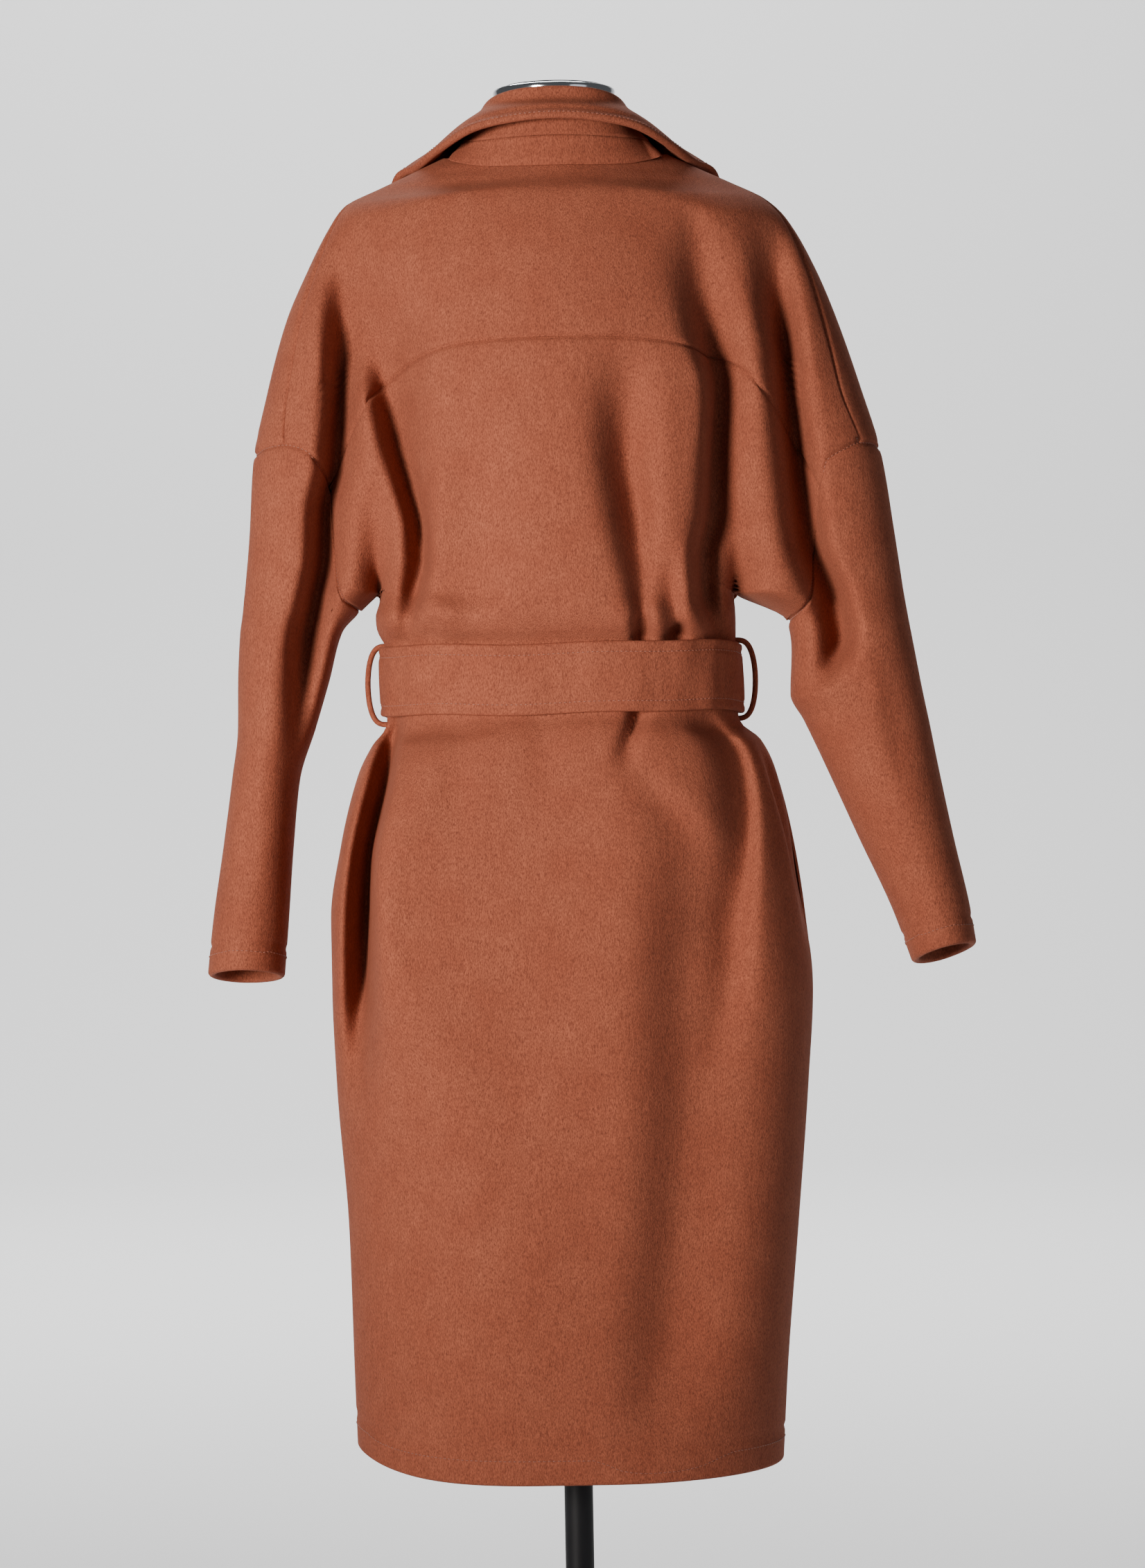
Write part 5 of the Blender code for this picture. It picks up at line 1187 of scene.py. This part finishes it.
def collar_rows():
    """Rows of the collar from the neck seam over the roll to the outer edge, left end to right end."""
    back = back_collar()
    left = np.concatenate([back, front_collar("left", LEFT_FRONT_EDGE)])
    right = np.concatenate([back * np.array([-1.0, 1.0, 1.0]), front_collar("right", -RIGHT_FRONT_EDGE)])
    neck, roll, edge = np.concatenate([left[::-1], right[1:]]).swapaxes(0, 1)
    height = np.linalg.norm(roll - neck, axis=1, keepdims=True)
    up = (roll - neck) / height
    out = (edge - roll) - up * np.sum((edge - roll) * up, axis=1, keepdims=True)
    out /= np.linalg.norm(out, axis=1, keepdims=True)
    shoulder = roll + out * 2 * COLLAR_FOLD - up * ROLL_DROP * height
    stand = [neck + up * height * share for share in STAND_ROWS_UP]
    fall = [neck + up * height * share for share in FALL_ROWS_UP]
    fall += [roll + COLLAR_FOLD * (out * a + up * b) for a, b in ROLL_ROUND]
    fall += [shoulder, shoulder + (edge - shoulder) * 0.5 + out * COLLAR_BULGE, edge]
    return np.array(stand), np.array(fall)


def clear_of_fronts(grid, distance):
    """Moves the points of a grid that hang before the fronts at least that far out from them."""
    x, y, z = grid[..., 0], grid[..., 1], grid[..., 2]
    lap = np.where(x < 0, lap_lift(x, z, -1), 0.0)
    most = sheet_y("front", x, z) - lap - distance
    grid[..., 1] = np.where(y < FRONT_OF_NECK_Y, np.minimum(y, most), y)
    return grid


def finer(grid, row_steps, column_steps):
    """The grid with each square split, on Catmull-Rom curves through its points in both directions."""
    for axis, steps in ((0, row_steps), (1, column_steps)):
        ends = np.concatenate([grid.take([0], axis), grid, grid.take([-1], axis)], axis)
        last = grid.shape[axis] - 1
        at = np.linspace(0, last, last * steps + 1)
        i = np.minimum(at.astype(int), last - 1)
        shape = [1] * grid.ndim
        shape[axis] = len(at)
        t = (at - i).reshape(shape)
        a, b, c, d = (ends.take(i + k, axis) for k in range(4))
        bend = (2 * a - 5 * b + 4 * c - d) * t**2 + (3 * b - a - 3 * c + d) * t**3
        grid = b + 0.5 * ((c - a) * t + bend)
    return grid


stand_rows, fall_rows = collar_rows()
stand_rows, fall_rows = clear_of_fronts(stand_rows, STAND_OFF), clear_of_fronts(fall_rows, FALL_OFF)
fine = finer(np.concatenate([stand_rows, fall_rows]), *COLLAR_STEPS)
seam_row = (len(stand_rows) - 1) * COLLAR_STEPS[0]
# The shown face looks forward to the neck on the stand, and away from it on the fall.
facing = grid_normals(fine, False, np.array([0.0, 1.0, 0.0]))
outward = -np.sign(facing[0, fine.shape[1] // 2, 1]) * facing
stand, points = cloth(
    "collar_stand_wool", fine[: seam_row + 1], outward[: seam_row + 1], ("end",), seam_depth=COLLAR_SEAM_DEPTH
)
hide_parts("collar_stand")
fall, points = cloth(
    "collar_fall_wool", fine[seam_row:], outward[seam_row:], ("top",), (("end", COLLAR_STITCH),), COLLAR_TURN,
    seam_depth=COLLAR_SEAM_DEPTH,
)
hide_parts("collar")
surface = np.concatenate([points, outward[seam_row:]], axis=-1)
sewn = stitches("stitching_collar_edge", line_along(surface, "end", COLLAR_STITCH))

# The belt: a band of two layers of the wool, turned out and stitched along both edges, drawn tight round the
# waist through two loops at the side seams.
BELT_BOTTOM_Z = 0.968
BELT_TOP_Z = 1.026
BELT_THICKNESS = 0.0045
BELT_CLEARANCE = 0.0008
BELT_STITCH = 0.008
BELT_COLUMNS = 300
BELT_FACE_ROWS = 25
BELT_LAP_REACH = 0.140
BELT_SWAY = (("height", "waves", "phase"), (0.0010, 3, 0.6), (0.0007, 7, 2.0))
BELT_RIPPLE = (("height", "waves", "slant"), (0.0006, 11, 60), (0.0005, 23, -45))
RIPPLE_LEAST = -0.0004


def band_profile(height, thickness, face_rows, dent=STITCH_DENT):
    """A flat band's section as height and distance out: a face with stitched dents, two rounds and a back."""
    round_size = thickness / 2
    face = np.linspace(-height / 2 + round_size, height / 2 - round_size, face_rows)
    sunk = dent * np.exp(-(((height / 2 - np.abs(face) - BELT_STITCH) / STITCH_DENT_WIDTH) ** 2))
    angle = np.linspace(0, np.pi, 8)[1:-1]
    top = np.stack([face[-1] + round_size * np.sin(angle), round_size * np.cos(angle)], axis=-1)
    low = np.stack([face[0] - round_size * np.sin(angle), -round_size * np.cos(angle)], axis=-1)
    front = np.stack([face, round_size - sunk], axis=-1)
    return np.concatenate([front, top, np.stack([face[::-3], -round_size + 0 * face[::-3]], axis=-1), low])


def stitched_row(profile, height, way):
    """The row of a band's face nearest to the stitching at its upper edge, or at its lower one for way -1."""
    return np.argmin(np.abs(profile[:BELT_FACE_ROWS, 0] - way * (height / 2 - BELT_STITCH)))


def belt_place(angle, z, lift):
    """A place round the waist outside the coat's outline without its folds, and the level way out there."""
    half_width = np.where(np.cos(angle) >= 0, trunk_at["left"](z), trunk_at["right"](z))
    x = half_width * np.cos(angle)
    toward = np.where(np.sin(angle) >= 0, 1.0, -1.0)
    depth = np.where(toward > 0, trunk_at["back"](z), trunk_at["front"](z))
    turn = np.where(np.cos(angle) >= 0, trunk_at["left_turn"](z), trunk_at["right_turn"](z))
    y = toward * depth * quarter_round(half_width - np.abs(x), turn)
    lap = np.where(toward < 0, WRAP_LIFT * ease((BELT_LAP_REACH - np.abs(x)) / LAP_EASE), 0.0)
    points = np.stack(np.broadcast_arrays(x, y, z), axis=-1)
    along = np.roll(points, -1, axis=1) - np.roll(points, 1, axis=1)
    out = np.stack([along[..., 1], -along[..., 0], np.zeros_like(x)], axis=-1)
    out /= np.linalg.norm(out, axis=-1, keepdims=True)
    return points + out * (lap + lift)[..., None], out


belt_height = BELT_TOP_Z - BELT_BOTTOM_Z
belt_middle = 0.5 * (BELT_TOP_Z + BELT_BOTTOM_Z)
profile = band_profile(belt_height, BELT_THICKNESS, BELT_FACE_ROWS)
angle = np.linspace(0, 2 * np.pi, BELT_COLUMNS, endpoint=False)[None, :]
sway = sum(size * np.sin(waves * angle + phase) for size, waves, phase in BELT_SWAY[1:])
ripple = sum(size * np.sin(waves * angle + slant * profile[:, :1]) for size, waves, slant in BELT_RIPPLE[1:])
level = belt_middle + profile[:, :1] + 0 * angle
lift = BELT_CLEARANCE + BELT_THICKNESS / 2 + profile[:, 1:] + np.maximum(ripple, RIPPLE_LEAST)
points, out = belt_place(np.broadcast_to(angle, level.shape), level, lift)
points[..., 2] += sway
belt_faces = grid_faces(len(profile) + 1, BELT_COLUMNS, True) % (len(profile) * BELT_COLUMNS)
belt = close_up(add_piece("belt_band", points, belt_faces, wool), 70)
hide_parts("belt")
for edge, way in (("upper", 1), ("lower", -1)):
    row = stitched_row(profile, belt_height, way)
    stitches("stitching_belt_" + edge, np.concatenate([points[row], out[row]], axis=-1))

# The belt loops: narrow turned-out straps sewn at both ends to the side seams. They stand well off the belt
# and show as thin bows on both sides of the waist.
LOOP_WIDTH = 0.009
LOOP_THICKNESS = 0.0046
LOOP_REACH = 0.0165
LOOP_SQUARENESS = 0.6
LOOP_SEWN_IN = 0.0015
LOOP_TOP_Z = 1.0280
LOOP_BOTTOM_Z = 0.9625
LOOP_STEPS = 61
LOOP_FACE_ROWS = 7


def strap(name, middle, across, width, thickness, rows, dent=STITCH_DENT):
    """A flat band's section carried along a path of middle points; across is its width's way at each."""
    along = np.gradient(middle, axis=0)
    along /= np.linalg.norm(along, axis=1, keepdims=True)
    across = across / np.linalg.norm(across, axis=1, keepdims=True)
    out = np.cross(along, across)
    out /= np.linalg.norm(out, axis=1, keepdims=True)
    section = band_profile(width, thickness, rows, dent)
    tube = middle[:, None] + across[:, None] * section[None, :, :1] + out[:, None] * section[None, :, 1:]
    ends = [np.broadcast_to(ring.mean(axis=0), ring.shape)[None] for ring in (tube[0], tube[-1])]
    whole = np.concatenate([ends[0], tube, ends[1]])
    made = close_up(add_piece(name, whole, grid_faces(*whole.shape[:2], True), wool), 70)
    return made, tube, out


for name, side in sides.items():
    turn_by = np.linspace(0, np.pi, LOOP_STEPS)
    loop_z = 0.5 * (LOOP_TOP_Z + LOOP_BOTTOM_Z) + 0.5 * (LOOP_TOP_Z - LOOP_BOTTOM_Z) * np.cos(turn_by)
    coat_x = 0.5 * (trunk_at[name](LOOP_TOP_Z) + trunk_at[name](LOOP_BOTTOM_Z)) - LOOP_SEWN_IN
    loop_x = coat_x + LOOP_REACH * np.sin(turn_by) ** LOOP_SQUARENESS
    path = np.stack([side["sign"] * loop_x, 0.0 * loop_x, loop_z], axis=1)
    across = np.tile((0.0, 1.0, 0.0), (LOOP_STEPS, 1))
    loop, _, _ = strap(
        "belt_loop_strap_" + name, path, across, LOOP_WIDTH, LOOP_THICKNESS, LOOP_FACE_ROWS, dent=0.0
    )
    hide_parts("belt_loop_" + name)

# The knot: the belt's ends crossed, one drawn up behind and folded down over, so that a square pad of cloth
# with a slanting fold shows at the middle of the front.
KNOT_WIDTH = 0.062
KNOT_DEPTH = 0.020
KNOT_HEIGHT = 0.050
KNOT_OFF = 0.001
KNOT_GRID = (61, 120)
KNOT_END_POWER = 3
KNOT_CORNER_POWER = 0.7
FOLD_SLANT = 0.55
FOLD_EDGES = (
    ("depth", "middle", "half_gap", "width"),
    (0.0022, 0.15, 0.45, 0.10),
    (0.0010, -0.05, 0.0, 0.09),
)


def squarer(wave):
    """A wave between -1 and 1 with its sign kept and its size raised to the corners' power."""
    return np.sign(wave) * np.abs(wave) ** KNOT_CORNER_POWER


belt_face = -(float(trunk_at["front"](belt_middle)) + WRAP_LIFT + BELT_CLEARANCE + BELT_THICKNESS)
level = np.linspace(-1, 1, KNOT_GRID[0])[:, None]
round_by = np.linspace(0, 2 * np.pi, KNOT_GRID[1], endpoint=False)[None, :]
size = (1 - np.abs(level) ** KNOT_END_POWER) ** (1 / KNOT_END_POWER)
slant = level + FOLD_SLANT * squarer(np.cos(round_by)) * size
sunk = sum(
    depth * np.exp(-(((np.abs(slant - middle) - half_gap) / width) ** 2))
    for depth, middle, half_gap, width in FOLD_EDGES[1:]
)
swell = 1 - sunk / (0.5 * KNOT_DEPTH) * np.maximum(-np.sin(round_by), 0)
knot_x = 0.5 * KNOT_WIDTH * size * squarer(np.cos(round_by))
knot_y = belt_face - KNOT_OFF - 0.5 * KNOT_DEPTH * (1 - size * squarer(np.sin(round_by)) * swell)
knot_z = belt_middle + 0.5 * KNOT_HEIGHT * level
points = np.stack(np.broadcast_arrays(knot_x, knot_y, knot_z), axis=-1)
knot = close_up(add_piece("belt_knot_folded", points, grid_faces(*KNOT_GRID, True), wool), 70)
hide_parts("belt_knot")

# The belt's hanging ends: two straight lengths of the same band below the knot, squared off and stitched
# along both edges. They hang just off the fronts and sway a little.
TAIL_WIDTH = 0.054
TAIL_THICKNESS = 0.004
TAIL_TOP_Z = 0.970
TAIL_BOTTOM_Z = {"left": 0.585, "right": 0.545}
TAIL_TOP_X = 0.030
TAIL_SPREAD = 0.012
TAIL_OFF = 0.006
TAIL_UNDER_BELT = 0.0045
TAIL_WAVE = 0.0012
TAIL_WAVES = 9
TAIL_TILT = 0.10
TAIL_TILTS = 5
TAIL_TURN = 0.25
TAIL_STEPS = 100
for name, side in sides.items():
    length = TAIL_TOP_Z - TAIL_BOTTOM_Z[name]
    tail_z = np.linspace(TAIL_TOP_Z, TAIL_BOTTOM_Z[name], TAIL_STEPS)
    down = (TAIL_TOP_Z - tail_z) / length
    tail_x = side["sign"] * (TAIL_TOP_X + TAIL_SPREAD * down)
    before_coat = sheet_y("front", 0.0 * tail_z, tail_z) - WRAP_LIFT - TAIL_OFF
    hang = np.minimum(before_coat, belt_face - TAIL_UNDER_BELT)
    path = np.stack([tail_x, hang - TAIL_WAVE * np.sin(TAIL_WAVES * down) ** 2, tail_z], axis=1)
    tilt = TAIL_TILT * np.sin(TAIL_TILTS * down + side["sign"])
    across = np.stack([np.cos(tilt), TAIL_TURN * np.sin(tilt), 0 * tilt], axis=1)
    tail, tube, out = strap("belt_end_" + name, path, across, TAIL_WIDTH, TAIL_THICKNESS, BELT_FACE_ROWS)
    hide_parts("belt_tail_" + name)
    section = band_profile(TAIL_WIDTH, TAIL_THICKNESS, BELT_FACE_ROWS)
    for edge, way in (("inner", 1), ("outer", -1)):
        line = np.concatenate([tube[:, stitched_row(section, TAIL_WIDTH, way)], out], axis=-1)
        stitches("stitching_belt_end_" + name + "_" + edge, line)

# The studio: a pale seamless sweep that is floor and backdrop in one, a soft light from the left of the
# picture, a weak one from the right, one on the backdrop, and the camera a little lower than the belt.
SWEEP_BACK = -9.0
SWEEP_FRONT = 6.0
SWEEP_WIDTH = 16.0
SWEEP_TOP = 8.0
SWEEP_ROUND = 1.6
PAPER = "#E2E2E2"
AIR = "#E4E6EA"
AIR_STRENGTH = 0.12
bend = np.linspace(0, np.pi / 2, 25)
sweep_y = np.concatenate([[SWEEP_FRONT], SWEEP_BACK + SWEEP_ROUND * (1 - np.sin(bend)), [SWEEP_BACK]])
sweep_z = np.concatenate([[0.0], SWEEP_ROUND * (1 - np.cos(bend)), [SWEEP_TOP]])
sweep_x = np.array([-SWEEP_WIDTH / 2, SWEEP_WIDTH / 2])
points = np.stack(np.broadcast_arrays(sweep_x[None, :], sweep_y[:, None], sweep_z[:, None]), axis=-1)
paper, tree, shader = new_finish("matt_backdrop_paper", Roughness=0.95, Specular_IOR_Level=0.1)
shader.inputs["Base Color"].default_value = linear(PAPER)
mesh = bpy.data.meshes.new("studio_sweep")
mesh.from_pydata(points.reshape(-1, 3).tolist(), [], grid_faces(*points.shape[:2], False).tolist())
mesh.materials.append(paper)
mesh.shade_smooth()
sweep = bpy.data.objects.new("studio_sweep", mesh)
bpy.context.scene.collection.objects.link(sweep)

LIGHTS = (
    ("name", "place", "aim", "size", "spread", "watts", "tint"),
    ("key_softbox", (1.9, 3.0, 1.05), (0.0, 0.0, 1.10), 1.0, 46.0, 15.0, "#FFF8F2"),
    ("fill_softbox", (-3.0, 2.8, 1.2), (0.0, 0.0, 0.95), 2.4, 180.0, 12.0, "#F6F7FF"),
    ("backdrop_light", (0.6, -4.0, 6.0), (0.3, -7.0, 0.0), 4.0, 180.0, 880.0, "#FFFFFF"),
)
for row in LIGHTS[1:]:
    light = dict(zip(LIGHTS[0], row))
    lamp = bpy.data.lights.new(light["name"], "AREA")
    lamp.shape = "DISK"
    lamp.size = light["size"]
    lamp.spread = np.radians(light["spread"])
    lamp.energy = light["watts"]
    lamp.color = linear(light["tint"])[:3]
    made = bpy.data.objects.new(light["name"], lamp)
    made.location = light["place"]
    made.rotation_euler = (Vector(light["aim"]) - made.location).to_track_quat("-Z", "Y").to_euler()
    bpy.context.scene.collection.objects.link(made)

world = bpy.data.worlds.new("studio_air")
world.use_nodes = True
air = world.node_tree.nodes["Background"]
air.inputs["Color"].default_value = linear(AIR)
air.inputs["Strength"].default_value = AIR_STRENGTH
bpy.context.scene.world = world

CAMERA_PLACE = (-0.0053, 4.0, 0.91)
CAMERA_LENS = 109.7
CAMERA_SENSOR = 36.0
CAMERA_ROLL = -1.02
camera = bpy.data.objects.new("photo_camera", bpy.data.cameras.new("photo_camera"))
camera.data.lens = CAMERA_LENS
camera.data.sensor_width = CAMERA_SENSOR
camera.matrix_world = (
    Matrix.Translation(CAMERA_PLACE)
    @ Matrix.Rotation(np.pi, 4, "Z")
    @ Matrix.Rotation(np.pi / 2, 4, "X")
    @ Matrix.Rotation(np.radians(CAMERA_ROLL), 4, "Z")
)
bpy.context.scene.collection.objects.link(camera)
bpy.context.scene.camera = camera
